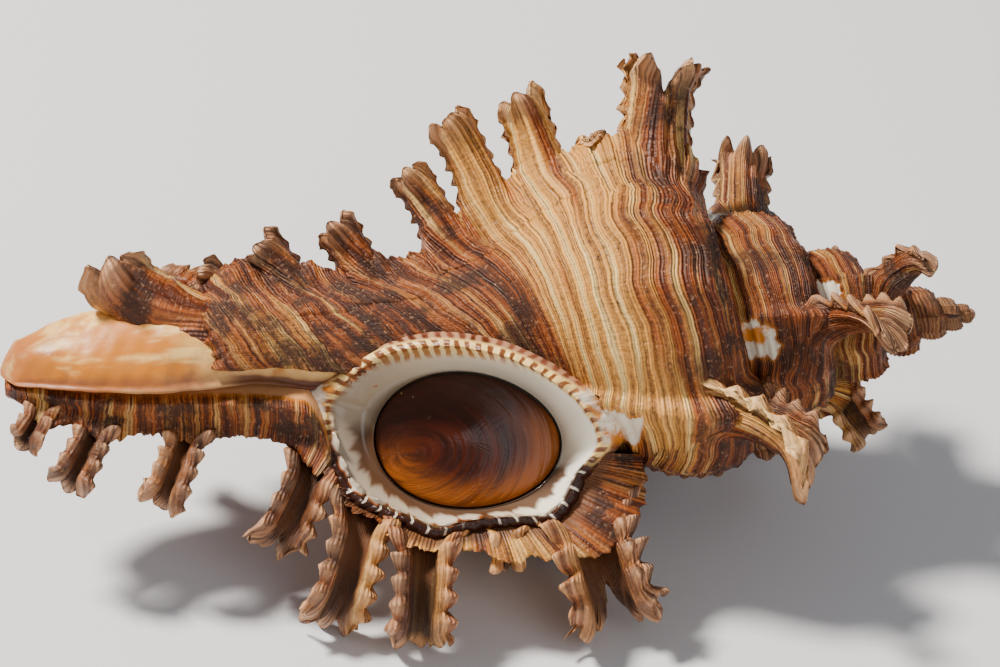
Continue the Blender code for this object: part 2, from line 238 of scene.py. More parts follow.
class StageSettings(bpy.types.PropertyGroup):
    """Camera and lights"""

    camera_distance: length_setting(
        "Camera distance", "From the camera to the middle of the shell", 0.395
    )
    camera_azimuth: angle_setting(
        "Camera azimuth", "Camera's turn round the shell, from straight along +Y", -6.0
    )
    camera_elevation: angle_setting(
        "Camera elevation", "Camera's angle above the horizon", 35.0
    )
    camera_view: angle_setting("View angle", "Angle across the picture's width", 14.0)
    key_power: bpy.props.FloatProperty(
        name="Key power", description="Power of the key light, in watts", default=9.4
    )


# Shapes in the shell's own frame


def around(x, radius, degrees):
    """Points at a place along the axis, a distance from it and an angle round it."""
    turn = np.radians(degrees)
    x, radius, turn = np.broadcast_arrays(x, radius, turn)
    return np.stack((x, -radius * np.cos(turn), radius * np.sin(turn)), axis=-1)


def from_mouth(x, down, out):
    """Points given in the mouth's frame: away from the axis is down*sin + out*cos of the lean."""
    x, down, out = np.broadcast_arrays(x, down, out)
    away = down * math.sin(MOUTH_LEAN) + out * math.cos(MOUTH_LEAN)
    height = out * math.sin(MOUTH_LEAN) - down * math.cos(MOUTH_LEAN)
    return np.stack((x, -away, height), axis=-1)


def to_mouth(points):
    """The same turned back: x, down and out of points in the shell's frame."""
    away, height = -points[..., 1], points[..., 2]
    down = away * math.sin(MOUTH_LEAN) - height * math.cos(MOUTH_LEAN)
    out = away * math.cos(MOUTH_LEAN) + height * math.sin(MOUTH_LEAN)
    return points[..., 0], down, out


def to_world(points):
    """From the shell's frame in millimetres to metres over the surface that it lies on."""
    return (points + np.array((-FLOOR_CENTRE[0], -FLOOR_CENTRE[1], AXIS_HEIGHT))) * MM


def unit(vectors):
    """The vectors scaled to length 1."""
    return vectors / np.linalg.norm(vectors, axis=-1, keepdims=True)


def smoothstep(value, low, high):
    """0 below low, 1 above high, and the cubic 3t^2 - 2t^3 between them."""
    t = np.clip((value - low) / (high - low), 0, 1)
    return t * t * (3 - 2 * t)


def smooth_curve(places, values, at):
    """A cubic through the values at their places: each slope is the mean of its two chords."""
    chords = np.diff(values, axis=0) / np.diff(places)[:, None]
    slopes = np.concatenate((chords[:1], (chords[1:] + chords[:-1]) / 2, chords[-1:]))
    i = np.clip(np.searchsorted(places, at, side="right") - 1, 0, len(places) - 2)
    width = (places[i + 1] - places[i])[..., None]
    t = (at[..., None] - places[i][..., None]) / width
    near = (1 + 2 * t) * (1 - t) ** 2 * values[i] + t * (1 - t) ** 2 * width * slopes[i]
    far = t * t * (3 - 2 * t) * values[i + 1] + t * t * (t - 1) * width * slopes[i + 1]
    return near + far


def closed_curve(values, at):
    """The same cubic round a closed outline, where at runs from 0 to 1."""
    count = len(values)
    padded = np.concatenate((values[-2:], values, values[:3]))
    places = (np.arange(len(padded)) - 2) / count
    return smooth_curve(places, padded, at)


def ripple(a, b):
    """An uneven wave of two coordinates, between -1 and 1: a sum of four crossing sines."""
    return (
        0.4 * np.sin(a + 1.7 * b)
        + 0.3 * np.sin(1.9 * a - 0.8 * b + 1.3)
        + 0.2 * np.sin(3.7 * a + 1.1 * b + 4.1)
        + 0.1 * np.sin(6.3 * a - 2.9 * b + 2.2)
    )


def bell(value, width, middle=0.0):
    """1 at the middle, falling off on both sides by the exponential of minus a square."""
    return np.exp(-(((value - middle) / width) ** 2))


def growth_length(angle):
    """Millimetres grown up to an angle, on the circle of GROWTH_RADIUS."""
    return np.radians(angle) * GROWTH_RADIUS


def on_grid(shape, **values):
    """Each named value repeated over a grid of that shape."""
    return {key: np.broadcast_to(numbers, shape) for key, numbers in values.items()}


def outline(cord, angle):
    """Distance from the apex, radius and size of the whorl at a cord and an angle.

    Before the top varix the outline grows in proportion, by WHORL_GROWTH a turn, apart from
    the canal, which stays in place. After it, each value passes by equal ratios to the lip's.
    """
    top = smooth_curve(STATION_CORDS, TOP_PROFILE, cord)
    lip = smooth_curve(STATION_CORDS, LIP_PROFILE, cord)
    share = np.clip((angle - TOP_ANGLE) / (LIP_ANGLE - TOP_ANGLE), 0, 1)
    coiling = np.interp(cord, (COILING_CORD, CANAL_CORD), (1, 0))
    size = WHORL_GROWTH ** (np.minimum(angle - TOP_ANGLE, 0) / 360 * coiling)
    along = top[..., 0] ** (1 - share) * lip[..., 0] ** share * size
    radius = top[..., 1] ** (1 - share) * lip[..., 1] ** share * size
    return along, radius, size


def frond_cord(x, angle):
    """The cord that runs through a place along the axis at an angle."""
    places = outline(STATION_CORDS, np.full(len(STATION_CORDS), float(angle)))[0]
    return float(np.interp(SHELL_LENGTH - x, places, STATION_CORDS))


def frond_rows():
    """Every varix as its angle and its fronds, from the lip back."""
    rows = [(LIP_ANGLE, LIP_FRONDS), (LIP_ANGLE - VARIX_STEP, BACK_FRONDS), (TOP_ANGLE, TOP_FRONDS)]
    for number, frond in enumerate(SPIRE_FRONDS):
        rows.append((LIP_ANGLE - (number + 3) * VARIX_STEP, (frond,)))
    return rows


def root_swell(cord, angle):
    """Height of the whorl where fronds grow out of it.

    The sum over fronds of a bell across the cords, times a slow rise before the varix and a
    quick fall after it.
    """
    total = 0 * cord
    for row_angle, fronds in frond_rows():
        scale = WHORL_GROWTH ** (min(row_angle - TOP_ANGLE, 0) / 360)
        past = angle - row_angle
        rise = smoothstep(past, -19, -1.5) ** 1.4 * smoothstep(past, 4.5, 0)
        for (x, _), _, _, stem, _, _ in fronds:
            spread = 0.55 * stem / scale
            near = bell(cord, spread, frond_cord(x, row_angle))
            total = total + 0.36 * min(stem, 6) * rise * near
    return total


def relief(cord, angle, size, sizes):
    """Height over the outline, and the cord that shows there after its waves.

    The sum of a ridge at each varix, with a slow rise and a quick fall, a thin fin on its
    crest, two low humps between varices, main cords, threads between them, the scales that
    cross them and the swellings at the fronds' roots.
    """
    behind = (LIP_ANGLE - angle) % VARIX_STEP
    ahead = VARIX_STEP - behind
    ridge = np.maximum(smoothstep(behind, 24, 0) ** 1.5, smoothstep(ahead, 7, 0))
    humps = bell(behind, 7, 38) + 0.8 * bell(behind, 8, 64)
    shoulder = smoothstep(cord, 1.5, 6) * smoothstep(cord, 22, 11)
    growth = growth_length(angle)
    shown = cord + 0.16 * ripple(0.55 * growth, 0.35 * cord) - 1.2 * humps * shoulder
    shown = shown + 0.08 * np.clip(TOP_ANGLE - angle, 0, 106) * smoothstep(cord, 19, 33)
    pitch = sizes.cord_pitch / MM
    main = (0.5 + 0.5 * np.cos(2 * np.pi * shown / pitch)) ** 1.5
    thread = 0.5 + 0.5 * np.cos(4 * np.pi * shown / pitch)
    scales = 0.5 + 0.5 * np.sin(2 * np.pi * growth / SCALE_PITCH + 3 * ripple(0.3 * cord, growth))
    cords = main * (0.65 + 0.35 * scales) + 0.6 * thread
    ends = smoothstep(cord, 0, 4) * smoothstep(TIP_CORD - cord, 0, 5)
    low = np.interp(cord, (COILING_CORD, CANAL_CORD), (1.0, 0.45))
    uneven = 1 + 0.35 * ripple(1.9 * cord, 0.1 * growth)
    height = sizes.ridge_height / MM * ends * low * ridge * uneven * size**0.9
    height = height + HUMP_HEIGHT * humps * shoulder * size**0.9
    height = height + sizes.cord_height / MM * cords * (0.25 + 0.75 * ends) * size**0.6
    fin = bell(np.minimum(behind, ahead), 0.9)
    height = height + FIN_HEIGHT * fin * ends * (0.7 + 0.6 * ripple(4.1 * cord, cord)) * size**0.7
    return height + root_swell(cord, angle), shown


def raised_outline(cord, angle, height):
    """Place along the axis and radius of the outline moved out by a height along its normal."""
    along, radius, _ = outline(cord, angle)
    more_along, more_radius, _ = outline(cord + 0.05, angle)
    rise, run = more_radius - radius, more_along - along
    length = np.hypot(rise, run)
    return SHELL_LENGTH - along + rise / length * height, radius + run / length * height


# Meshes from grids


def grid_faces(rows, columns, wrapped=False):
    """Four-cornered faces between neighbours of a grid, closed round its rows if wrapped."""
    index = np.arange(rows * columns).reshape(rows, columns)
    if wrapped:
        index = np.concatenate((index, index[:, :1]), axis=1)
    corners = (index[:-1, :-1], index[:-1, 1:], index[1:, 1:], index[1:, :-1])
    return np.stack(corners, axis=-1).reshape(-1, 4)


def turned_out(points, faces):
    """The faces of a closed form, reversed if its volume comes out below zero."""
    corners = points[faces]
    first = np.cross(corners[:, 1], corners[:, 2])
    second = np.cross(corners[:, 2], corners[:, 3])
    volume = (corners[:, 0] * (first + second)).sum()
    return faces if volume > 0 else faces[:, ::-1]


def add_mesh(name, points, faces, values, material, node):
    """A smooth mesh object that rides on the body and stands for a CAD node.

    values maps the name of an attribute to one number for each point of the grid.
    """
    points = points.reshape(-1, 3)
    mesh = bpy.data.meshes.new(name)
    mesh.vertices.add(len(points))
    mesh.vertices.foreach_set("co", to_world(points).ravel())
    mesh.loops.add(faces.size)
    mesh.loops.foreach_set("vertex_index", faces.ravel())
    mesh.polygons.add(len(faces))
    mesh.polygons.foreach_set("loop_start", np.arange(0, faces.size, 4))
    mesh.update(calc_edges=True)
    mesh.validate()
    for key, numbers in values.items():
        layer = mesh.attributes.new(key, "FLOAT", "POINT")
        layer.data.foreach_set("value", np.ascontiguousarray(numbers, np.float32).ravel())
    mesh.shade_smooth()
    mesh.materials.append(material)
    piece = bpy.data.objects.new(name, mesh)
    bpy.context.collection.objects.link(piece)
    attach(piece, BODY)
    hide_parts(node)


def fan_edges(x, angle):
    """The two edges of the corded fan on the canal, beyond which the glaze shows.

    The first is a wavy place along the axis. The second is the lowest angle, which drops
    towards the mouth's corner.
    """
    end = 18.5 + 0.5 * ripple(0.25 * angle, angle / 5) + 1.0 * smoothstep(angle, 70, 25)
    return end, 21.5 - 8 * smoothstep(x, 25, 31)


def whorl_surface(cords, angles, sizes):
    """Points and attributes of a coiled strip: the outline raised by its relief.

    Where the canal's fan ends the radius steps down under the glaze. The callus is the
    smooth enamel behind each varix of the spire, with torn edges.
    """
    cord, angle = np.meshgrid(cords, angles)
    height, shown = relief(cord, angle, outline(cord, angle)[2], sizes)
    x, radius = raised_outline(cord, angle, height)
    fan = smoothstep(angle, TOP_ANGLE + 8, TOP_ANGLE - 4)
    end, lowest = fan_edges(x, angle)
    radius = radius + fan * (1.2 * smoothstep(x, end, end + 1.6) * smoothstep(x, 29, 21) - 0.2)
    radius = radius - fan * 2.4 * smoothstep(x, end + 0.9, end - 0.2) * (x < 24)
    radius = radius - 2.2 * smoothstep(angle, lowest + 7, lowest) * smoothstep(x, 33, 31)
    points = around(x, radius, angle)
    growth = growth_length(angle)
    behind = (LIP_ANGLE - angle) % VARIX_STEP
    torn = behind + 3.0 * ripple(1.6 * shown, 0.15 * angle)
    callus = smoothstep(torn, 0.5, 4.0) * smoothstep(torn, 28, 22) * (angle < JOIN_ANGLE)
    bowed = 13.4 + 1.6 * ((behind - 14) / 14) ** 2 + 0.8 * ripple(0.5 * angle, cord)
    callus = callus * smoothstep(shown, bowed - 0.7, bowed + 0.7)
    callus = callus * np.where(angle > -40, smoothstep(x, 60.4, 59.6), angle > -690)
    rosy = 0.7 * smoothstep(angle, -900, -1900)
    values = {"cord": shown, "growth": growth, "tip": rosy, "channel": 0 * cord, "callus": callus}
    return points, values


def rim_towards(x, down):
    """The rim's crest, as x, down and out, in the direction of a place from its middle."""
    crest = closed_curve(RIM, np.linspace(0, 1, 360, endpoint=False))
    spokes = crest[:, :2] - RIM_MIDDLE
    bearings = np.arctan2(spokes[:, 1], spokes[:, 0])
    order = np.argsort(bearings)
    here = np.arctan2(down - RIM_MIDDLE[1], x - RIM_MIDDLE[0])
    table = crest[order]
    found = [np.interp(here, bearings[order], column, period=2 * np.pi) for column in table.T]
    return np.stack(found, axis=-1)


def inside_mouth(points, margin):
    """Whether points lie inside the mouth's rim, drawn in by a margin, on the camera's side."""
    x, down, out = to_mouth(points)
    reach = np.hypot(*(rim_towards(x, down)[..., :2] - RIM_MIDDLE).T).T
    away = np.hypot(x - RIM_MIDDLE[0], down - RIM_MIDDLE[1])
    return (away < reach - margin) & (out > 0)


def tucked(points):
    """Points over the mouth moved down, out of sight under its bowl."""
    x, down, out = to_mouth(points)
    covered = inside_mouth(points, -0.2)[..., None]
    return np.where(covered, from_mouth(x, down, np.minimum(out, 2.4)), points)


def kept_faces(faces, dropped):
    """The faces that have no dropped corner."""
    return faces[~dropped.ravel()[faces].any(axis=1)]


# Grid of the last whorl: rows along its growth and from the lip to the mouth, and columns
# from the suture to BODY_END_CORD and on to the canal's tip
WHORL_ROWS, TAIL_ROWS = 270, 24
BODY_COLUMNS, CANAL_COLUMNS, BODY_END_CORD = 190, 111, 35
SPIRE_ROWS, SPIRE_COLUMNS, SPIRE_END_CORD = 1050, 70, 21


def growth_angles():
    """Angles from the join to the lip, close together near the varices."""
    angles = np.linspace(JOIN_ANGLE, LIP_ANGLE, 4000)
    behind = (LIP_ANGLE - angles) % VARIX_STEP
    near = np.minimum(behind, VARIX_STEP - behind)
    density = np.cumsum(0.75 + 1.6 * bell(near, 4))
    return np.interp(np.linspace(density[0], density[-1], WHORL_ROWS), density, angles)


def build_last_whorl(sizes, material):
    """The last turn, from just past an old varix to the lip and, on the canal, to its slit.

    Past the lip each cord runs on: on the canal to the slit's edge and into it, and
    elsewhere to the crest of the mouth's rim, as a web that bulges by half a sine. A dome
    closes the canal's tip. What lies over the mouth or beyond the fan is left out.
    """
    body = np.linspace(0, BODY_END_CORD, BODY_COLUMNS)
    cords = np.concatenate((body, np.linspace(BODY_END_CORD, TIP_CORD, CANAL_COLUMNS + 1)[1:]))
    angles = growth_angles()
    points, values = whorl_surface(cords, angles, sizes)
    share = np.linspace(0, 1, TAIL_ROWS + 1)[1:, None]
    canal = smoothstep(cords, COILING_CORD + 3, CANAL_CORD - 4)
    past = LIP_ANGLE + share * (0.8 + (SLIT_ANGLE + 360 - LIP_ANGLE - 3) * canal)
    cord, _ = np.broadcast_arrays(cords, past)
    height, shown = relief(cord, past, outline(cord, past)[2], sizes)
    height = height * (1 - canal * smoothstep(share, 0, 0.4))
    x, radius = raised_outline(cord, past, height)
    slit = smoothstep(share, 0.76, 1)
    tail = around(x, np.maximum(radius - 3.5 * slit, 1.5), past)
    lip = points[-1]
    rim = rim_towards(*to_mouth(lip)[:2])
    outward = unit(rim[:, :2] - RIM_MIDDLE)
    edge = rim[:, :2] + 0.75 * outward
    crest = from_mouth(edge[:, 0], edge[:, 1], rim[:, 2] - 0.35)
    length = np.linalg.norm(crest - lip, axis=1)
    web = lip + (crest - lip) * share[..., None]
    bulge = np.sin(np.pi * share) * (0.10 * length + 0.25 * ripple(3 * cords, cords))
    web = web + unit(from_mouth(0.0, 0.0, 1.0)) * bulge[..., None]
    tail = web * (1 - canal[:, None]) + tail * canal[:, None]
    dark = smoothstep(length * (1 - share), 2.0, 0.9) * (1 - canal)
    grown = growth_length(past) + length * share * (1 - canal)
    points = np.concatenate((points, tail))
    tails = {"cord": shown, "growth": grown, "tip": 0 * shown, "channel": dark}
    tails["callus"] = canal * smoothstep(slit + 0.1 * ripple(2 * cord, past), 0.22, 0.38)
    values = {key: np.concatenate((values[key], tails[key])) for key in values}
    nub = np.sin(np.linspace(0, np.pi / 2, CAP_COLUMNS + 1)[1:])[:, None]
    last = points[:, -1:]
    dome = last + (CANAL_TIP - last) * nub - (1 - np.sqrt(1 - 0.99 * nub**2)) * (0.8, 0, 0)
    points = np.concatenate((points, dome), axis=1)
    for key, numbers in values.items():
        repeated = np.repeat(numbers[:, -1:], CAP_COLUMNS, axis=1)
        values[key] = np.concatenate((numbers, repeated), axis=1)
    faces = grid_faces(*points.shape[:2])[:, ::-1]
    angle = np.concatenate((angles[:, None] + 0 * cords, past + 0 * cords))
    angle = np.concatenate((angle, angle[:, -CAP_COLUMNS:]), axis=1)
    x = points[..., 0]
    end, lowest = fan_edges(x, angle)
    flanged = ((x < end) | ((angle < lowest) & (x < 31))) & (angle < TOP_ANGLE + 1)
    faces = kept_faces(faces, inside_mouth(points, 0.9) | flanged)
    add_mesh("last_whorl", points, faces, values, material, "shell")


def apex_bulb():
    """The rounded first whorl: a small ellipsoid round the axis that closes the oldest turn."""
    polar = np.linspace(0, np.pi, 14)[:, None]
    turn = np.linspace(0, 360, 32, endpoint=False)
    points = around(94.15 + 0.68 * np.cos(polar), 0.64 * np.sin(polar), turn).reshape(-1, 3)
    faces = turned_out(points, grid_faces(len(polar), len(turn), wrapped=True))
    cord = 5 * (SHELL_LENGTH - points[:, 0])
    values = on_grid(cord.shape, cord=cord, growth=0.0, tip=0.7, channel=0.0, callus=0.0)
    return points, faces, values


def build_spire(sizes, material):
    """The older turns, closed at the apex, each tucked under the turn after it."""
    cords = np.linspace(0, SPIRE_END_CORD, SPIRE_COLUMNS)
    angles = JOIN_ANGLE - (JOIN_ANGLE - OLDEST_ANGLE) * np.linspace(0, 1, SPIRE_ROWS)
    points, values = whorl_surface(cords, angles[::-1], sizes)
    points[..., 0] += 1.2 * smoothstep(points[..., 0], 87, 95)
    faces = grid_faces(*points.shape[:2])[:, ::-1]
    faces = kept_faces(faces, inside_mouth(points, 0.9))
    add_joined("spire", ((points, faces, values), apex_bulb()), material, "shell")


def bezier(points, t):
    """A point on the cubic Bezier curve of four points, and its direction."""
    a, b, c, d = points
    t = t[..., None]
    place = a * (1 - t) ** 3 + 3 * b * t * (1 - t) ** 2 + 3 * c * t * t * (1 - t) + d * t**3
    slope = (b - a) * (1 - t) ** 2 + 2 * (c - b) * t * (1 - t) + (d - c) * t * t
    return place, unit(slope)


def finger_reach(u, fingers, seed):
    """How far each line of a frond runs: blunt lobes, and a deep notch in a forked one."""
    lobe = np.abs(np.cos(np.pi * fingers * u / 2 + 0.3 * np.sin(seed))) ** 0.6
    lobe = lobe * (0.8 + 0.2 * np.sin(2.4 * fingers * u + seed))
    fork = 0.22 * bell(u, 0.12) if fingers > 5 else 0.0
    return 1 - 0.10 * (1 - lobe) - 0.09 * u**4 - fork


FROND_ROWS, FROND_COLUMNS = 64, 45


def frond_grid(path, sides, widths, fingers, curl, wall, seed, cord, ground=None):
    """One frond: a sheet folded round a curve, closed round its edges and at both ends.

    Across it, with u from -1 to 1, the sheet's heading turns in proportion to u up to a
    fold, then turns back by curl towards its edges, and the section is the integral of that
    heading. It opens in the direction the shell grew. The edges are pleated by a sine along
    the frond, the back carries ribs, and the rim is cut in fingers. With a ground, which
    gives the whorl's surface for u and t, the sheet leaves that surface little by little.
    What would lie over the mouth is tucked under it, and no point goes under the floor.
    """
    u = np.linspace(-1, 1, FROND_COLUMNS)
    middle_column = FROND_COLUMNS // 2
    share = np.linspace(0, 1, FROND_ROWS)[:, None]
    t = share * finger_reach(u, fingers, seed)
    centre, along = bezier(path, t)
    turned = smoothstep(t, 0.1, 0.6)[..., None]
    side = unit(sides[0] * (1 - turned) + sides[1] * turned)
    across = unit(side - along * (along * side).sum(axis=-1, keepdims=True))
    ahead = np.cross(along, across)
    root, stem, head = widths
    stops = (root, root, 0.5 * (root + stem), stem, stem, head)
    half = 0.5 * np.interp(t, (0, 0.12, 0.34, 0.52, 0.8, 1.0), stops)
    fold = np.interp(t, (0.0, 0.3, 0.5, 0.85, 1.0), (0.45, 0.8, 1.65, 1.45, 0.75))
    open_rim = smoothstep(t, 0.3, 0.55)
    outer_part = smoothstep(np.abs(u), 0.55, 1.0)
    length = np.linalg.norm(path[3] - path[0])
    phase = 2 * np.pi * t * length / (1.0 + 0.07 * stem) + seed + 1.6 * np.sign(u)
    wave = np.sin(phase + 0.6 * np.sin(phase)) * (0.75 + 0.25 * np.sin(0.37 * phase + seed))
    heading = fold * np.minimum(np.abs(u) / 0.6, 1) - (curl - 0.55 * wave) * outer_part * open_rim
    width = np.gradient(u)
    across_by = np.cumsum(np.cos(heading) * width, axis=1)
    ahead_by = np.cumsum(np.sin(heading) * np.sign(u) * width, axis=1)
    across_by = across_by - across_by[:, middle_column : middle_column + 1]
    ahead_by = ahead_by - ahead_by[:, middle_column : middle_column + 1]
    spread = half / np.abs(across_by).max(axis=1, keepdims=True)
    ruffle = wave * outer_part * open_rim * min(curl, 2.0)
    across_by = across_by * (1 + 0.09 * ruffle)
    flare = 0.10 * head * smoothstep(t, 0.75, 1.0) * np.cos(np.pi * fingers * u + seed)
    droop = 0.16 * head * smoothstep(t, 0.75, 1.0) ** 2
    forward = spread * ahead_by - flare - droop + 0.06 * stem * ruffle
    turn = heading * np.sign(u)
    middle = centre + across * (spread * across_by)[..., None] + ahead * forward[..., None]
    back = across * np.sin(turn)[..., None] - ahead * np.cos(turn)[..., None]
    edge = np.abs(u) ** 3
    ribs = 0.13 * np.cos(2 * np.pi * fingers * u) + 0.10 * np.cos(5 * np.pi * fingers * u + seed)
    rough = 0.12 * ripple(5 * u * fingers, 22 * t) * smoothstep(t, 0.4, 1)
    rounding = np.sqrt(1 - 0.985 * u**8) * np.sqrt(1 - 0.97 * smoothstep(share, 0.9, 1) ** 2)
    knob = 1 + 0.7 * smoothstep(share, 0.75, 0.95) * (0.5 + 0.5 * np.cos(np.pi * fingers * u))
    thick = wall * rounding * (knob + 0.35 * wave * outer_part * open_rim)
    raised = (ribs * stem / 5 + rough) * (1 - edge) * smoothstep(t, 0.2, 0.45) * rounding
    outer = middle + back * (thick / 2 + raised)[..., None]
    inner = middle - back * (thick / 2)[..., None]
    lines, growth = cord - u * root / 2 + 0 * t, t * length
    if ground:
        free = smoothstep(t, 0.12, 0.52)[..., None]
        lift = np.interp(t, (0, 0.06, 0.3), (-0.7, 0.0, 0.2)) - 0.9 * u**6 * (1 - free[..., 0])
        outer = ground(u * half, t, lift)[0] * (1 - free) + outer * free
        inner = ground(u * half, t, lift - wall)[0] * (1 - free) + inner * free
        _, lines, growth = ground(u * root / 2, t, lift)
    points = np.concatenate((outer, inner[:, ::-1]), axis=1)
    rows, columns = points.shape[:2]
    faces = grid_faces(rows, columns, wrapped=True)
    ends = []
    for row in (0, rows - 1):
        line = row * columns + np.arange(FROND_COLUMNS)
        mirror = row * columns + columns - 1 - np.arange(FROND_COLUMNS)
        cap = np.stack((line[:-1], mirror[:-1], mirror[1:], line[1:]), axis=-1)
        ends.append(cap if row else cap[:, ::-1])
    faces = np.concatenate((faces, *ends))
    ridges = smoothstep(np.abs(u), 0.55, 0.85) * smoothstep(wave, -0.9, 0.5) * open_rim
    pale = np.maximum(smoothstep(t, 0.72, 0.98), 0.85 * ridges)
    # Painted shade: the inner face darkens towards the middle of the fold
    hollow_shade = smoothstep(np.abs(u[::-1]), 0.85, 0.55) + 0 * t
    values = {
        key: np.concatenate((numbers, numbers[:, ::-1]), axis=1)
        for key, numbers in (("cord", lines), ("growth", growth), ("tip", pale))
    }
    values["channel"] = np.concatenate((0 * t, hollow_shade), axis=1)
    flat = tucked(points.reshape(-1, 3))
    flat[:, 2] = np.maximum(flat[:, 2], FLOOR_CLEARANCE - AXIS_HEIGHT)
    return flat, turned_out(flat, faces), values


def varix_frond(angle, number, spec, curl, wall, sizes, head_side=SHEET_SIDE):
    """A frond of a varix.

    Its line starts along the whorl, a little under its surface, and bends out to the tip,
    so that the cords run up its back.
    """
    (x, radius), (tip_x, tip_radius), hang, stem, head, fingers = spec
    lead = math.degrees(1.2 * stem / radius)
    start = around(x, radius - 0.7, angle - lead)
    rise = around(x + 0.05 * (tip_x - x), radius + 0.5, angle - 0.3 * lead)
    bend_radius = radius + 0.55 * (tip_radius - radius)
    bend = around(x + 0.35 * (tip_x - x), bend_radius, angle + 1.5 - 0.15 * hang)
    tip = around(tip_x, tip_radius, angle - hang)
    scale = WHORL_GROWTH ** (min(angle - TOP_ANGLE, 0) / 360)
    cord = frond_cord(x, angle)
    two_cords = np.array((cord - 0.5, cord + 0.5))
    along, out, _ = outline(two_cords, np.full(2, float(angle)))
    slope = around(-(along[1] - along[0]), out[1] - out[0], angle)
    directions = (unit(-slope), np.array(head_side))
    seed = 1.7 * number + 0.013 * angle
    path = (start, rise, bend, tip)

    def ground(off, t, lift):
        """Whorl under the frond, where off crosses the cords and t follows them to the varix.

        Gives the place, the cord that is shown there and the growth.
        """
        there = angle - lead * ((1 - t) ** 3 + 0.9 * t * (1 - t) ** 2)
        here = cord - off / scale
        height, shown = relief(here, there, outline(here, there)[2], sizes)
        x_there, radius_there = raised_outline(here, there, height + lift)
        growth = growth_length(there) + t**2 * 0.5 * (tip_radius - radius)
        return around(x_there, radius_there, there), shown, growth

    widths = (2.2 * stem, stem, head)
    return frond_grid(path, directions, widths, fingers, curl, wall, seed, cord, ground)


def add_joined(name, grids, material, node):
    """Several grids as one mesh object."""
    points, faces, values, first = [], [], {}, 0
    for grid_points, grid_face, grid_values in grids:
        points.append(grid_points.reshape(-1, 3))
        faces.append(grid_face + first)
        first += len(points[-1])
        for key, numbers in grid_values.items():
            values.setdefault(key, []).append(np.ravel(numbers))
    joined = {key: np.concatenate(numbers) for key, numbers in values.items()}
    add_mesh(name, np.concatenate(points), np.concatenate(faces), joined, material, node)


def build_fronds(name, angle, fronds, curl, sizes, material):
    """The fronds of one varix of the last whorl."""
    wall = sizes.frond_wall / MM
    grids = [varix_frond(angle, i, spec, curl, wall, sizes) for i, spec in enumerate(fronds)]
    add_joined(name, grids, material, "shell")


def build_spire_fronds(sizes, material):
    """The fronds of the older varices, one each, with shallow channels that get a quarter of the
    painted shade.
    """
    wall = 0.9 * sizes.frond_wall / MM
    grids = []
    for number, (angle, (spec,)) in enumerate(frond_rows()[3:]):
        side = SHEET_SIDE if number else NEAR_SPIRE_SIDE
        grids.append(varix_frond(angle, number, spec, 1.6, wall, sizes, side))
        # A quarter of the painted shade in these channels
        grids[-1][2]["channel"] *= 0.25
    add_joined("fronds_spire", grids, material, "shell")


def build_old_canals(sizes, material):
    """Ends of earlier canals: flat folded scales that stand out beside today's."""
    wall = 1.5 * sizes.frond_wall / MM
    upper = tuple(around(x, r, a) for x, r, a in (
        (22.4, 5.0, 68.0), (18.4, 7.7, 72.0), (12.4, 6.2, 82.0), (10.2, 12.4, 96.0),
    ))  # fmt: skip
    rear = tuple(around(x, r, a) for x, r, a in (
        (24.0, 3.0, 170.0), (19.0, 6.6, 171.0), (16.4, 7.6, 171.0), (15.0, 11.4, 171.0),
    ))  # fmt: skip
    faced, risen = around(0.0, 1.0, 156.0), np.array((0.83, 0.33, 0.48))
    turned = around(0.0, 1.0, 95.0)
    grids = (
        frond_grid(upper, (faced, risen), (7.2, 6.0, 5.6), 3, 0.3, wall, 0.4, 60.0),
        frond_grid(rear, (turned, turned), (4.4, 4.4, 4.4), 3, 0.3, wall, 2.1, 60.0),
    )
    add_joined("old_canals", grids, material, "shell")


def build_canal(material):
    """The smooth side of the canal: round the axis from the bottom of the slit to the back.

    Its radius follows the canal's outline, with a bead along the slit and a fall into it.
    Towards the mouth's corner it bends down with the slit. The edge attribute marks its
    borders, and dark marks the strip under the corded fan for painted shade.
    """
    x = np.linspace(-0.4, 35.5, 150)
    angle = np.linspace(SLIT_ANGLE - 2.0, TOP_ANGLE + 14, 120)[:, None]
    radius = smooth_curve(LIP_PROFILE[:, 0], LIP_PROFILE[:, 1:], SHELL_LENGTH - x)[:, 0]
    radius = np.minimum(radius, 7.4 - 0.045 * x)
    near = angle - SLIT_ANGLE
    radius = radius - 3.6 * smoothstep(near, 3.0, -1.5) ** 1.5
    radius = radius + 0.35 * bell(near, 2.5, 4.5)
    radius = radius + 0.22 * ripple(0.5 * x, 0.06 * angle) - 0.35 * smoothstep(x, 19, 22)
    radius = radius * np.sqrt(np.clip((x + 0.45) / 1.6, 0.001, 1))
    points = around(x + 0 * angle, radius, angle - 14 * smoothstep(x, 24, 31.5))
    faces = grid_faces(*points.shape[:2])
    uneven = near + 2 * ripple(0.7 * x, near / 9)
    edge = np.maximum(smoothstep(uneven, 22, 10), 0.8 * smoothstep(x, 7, 0))
    # Painted shade: the strip under the corded fan is darkened
    dark = 0.85 * smoothstep(uneven, 13, 10) * smoothstep(x, 20, 23) * smoothstep(x, 31.5, 30)
    values = on_grid(radius.shape, edge=edge, dark=dark)
    add_mesh("canal_glaze", points, faces, values, material, "shell")


def operculum_outline(turn, grow=0.0):
    """x and down on the operculum's edge: an oval turned by OPERCULUM_TURN, narrower ahead."""
    along = (OPERCULUM_HALF[0] + grow) * np.cos(turn)
    across = (OPERCULUM_HALF[1] + grow) * np.sin(turn) * (1 - OPERCULUM_EGG * np.cos(turn))
    c, s = math.cos(OPERCULUM_TURN), math.sin(OPERCULUM_TURN)
    x, down = OPERCULUM_CENTRE[:2]
    return x + along * c - across * s, down + along * s + across * c


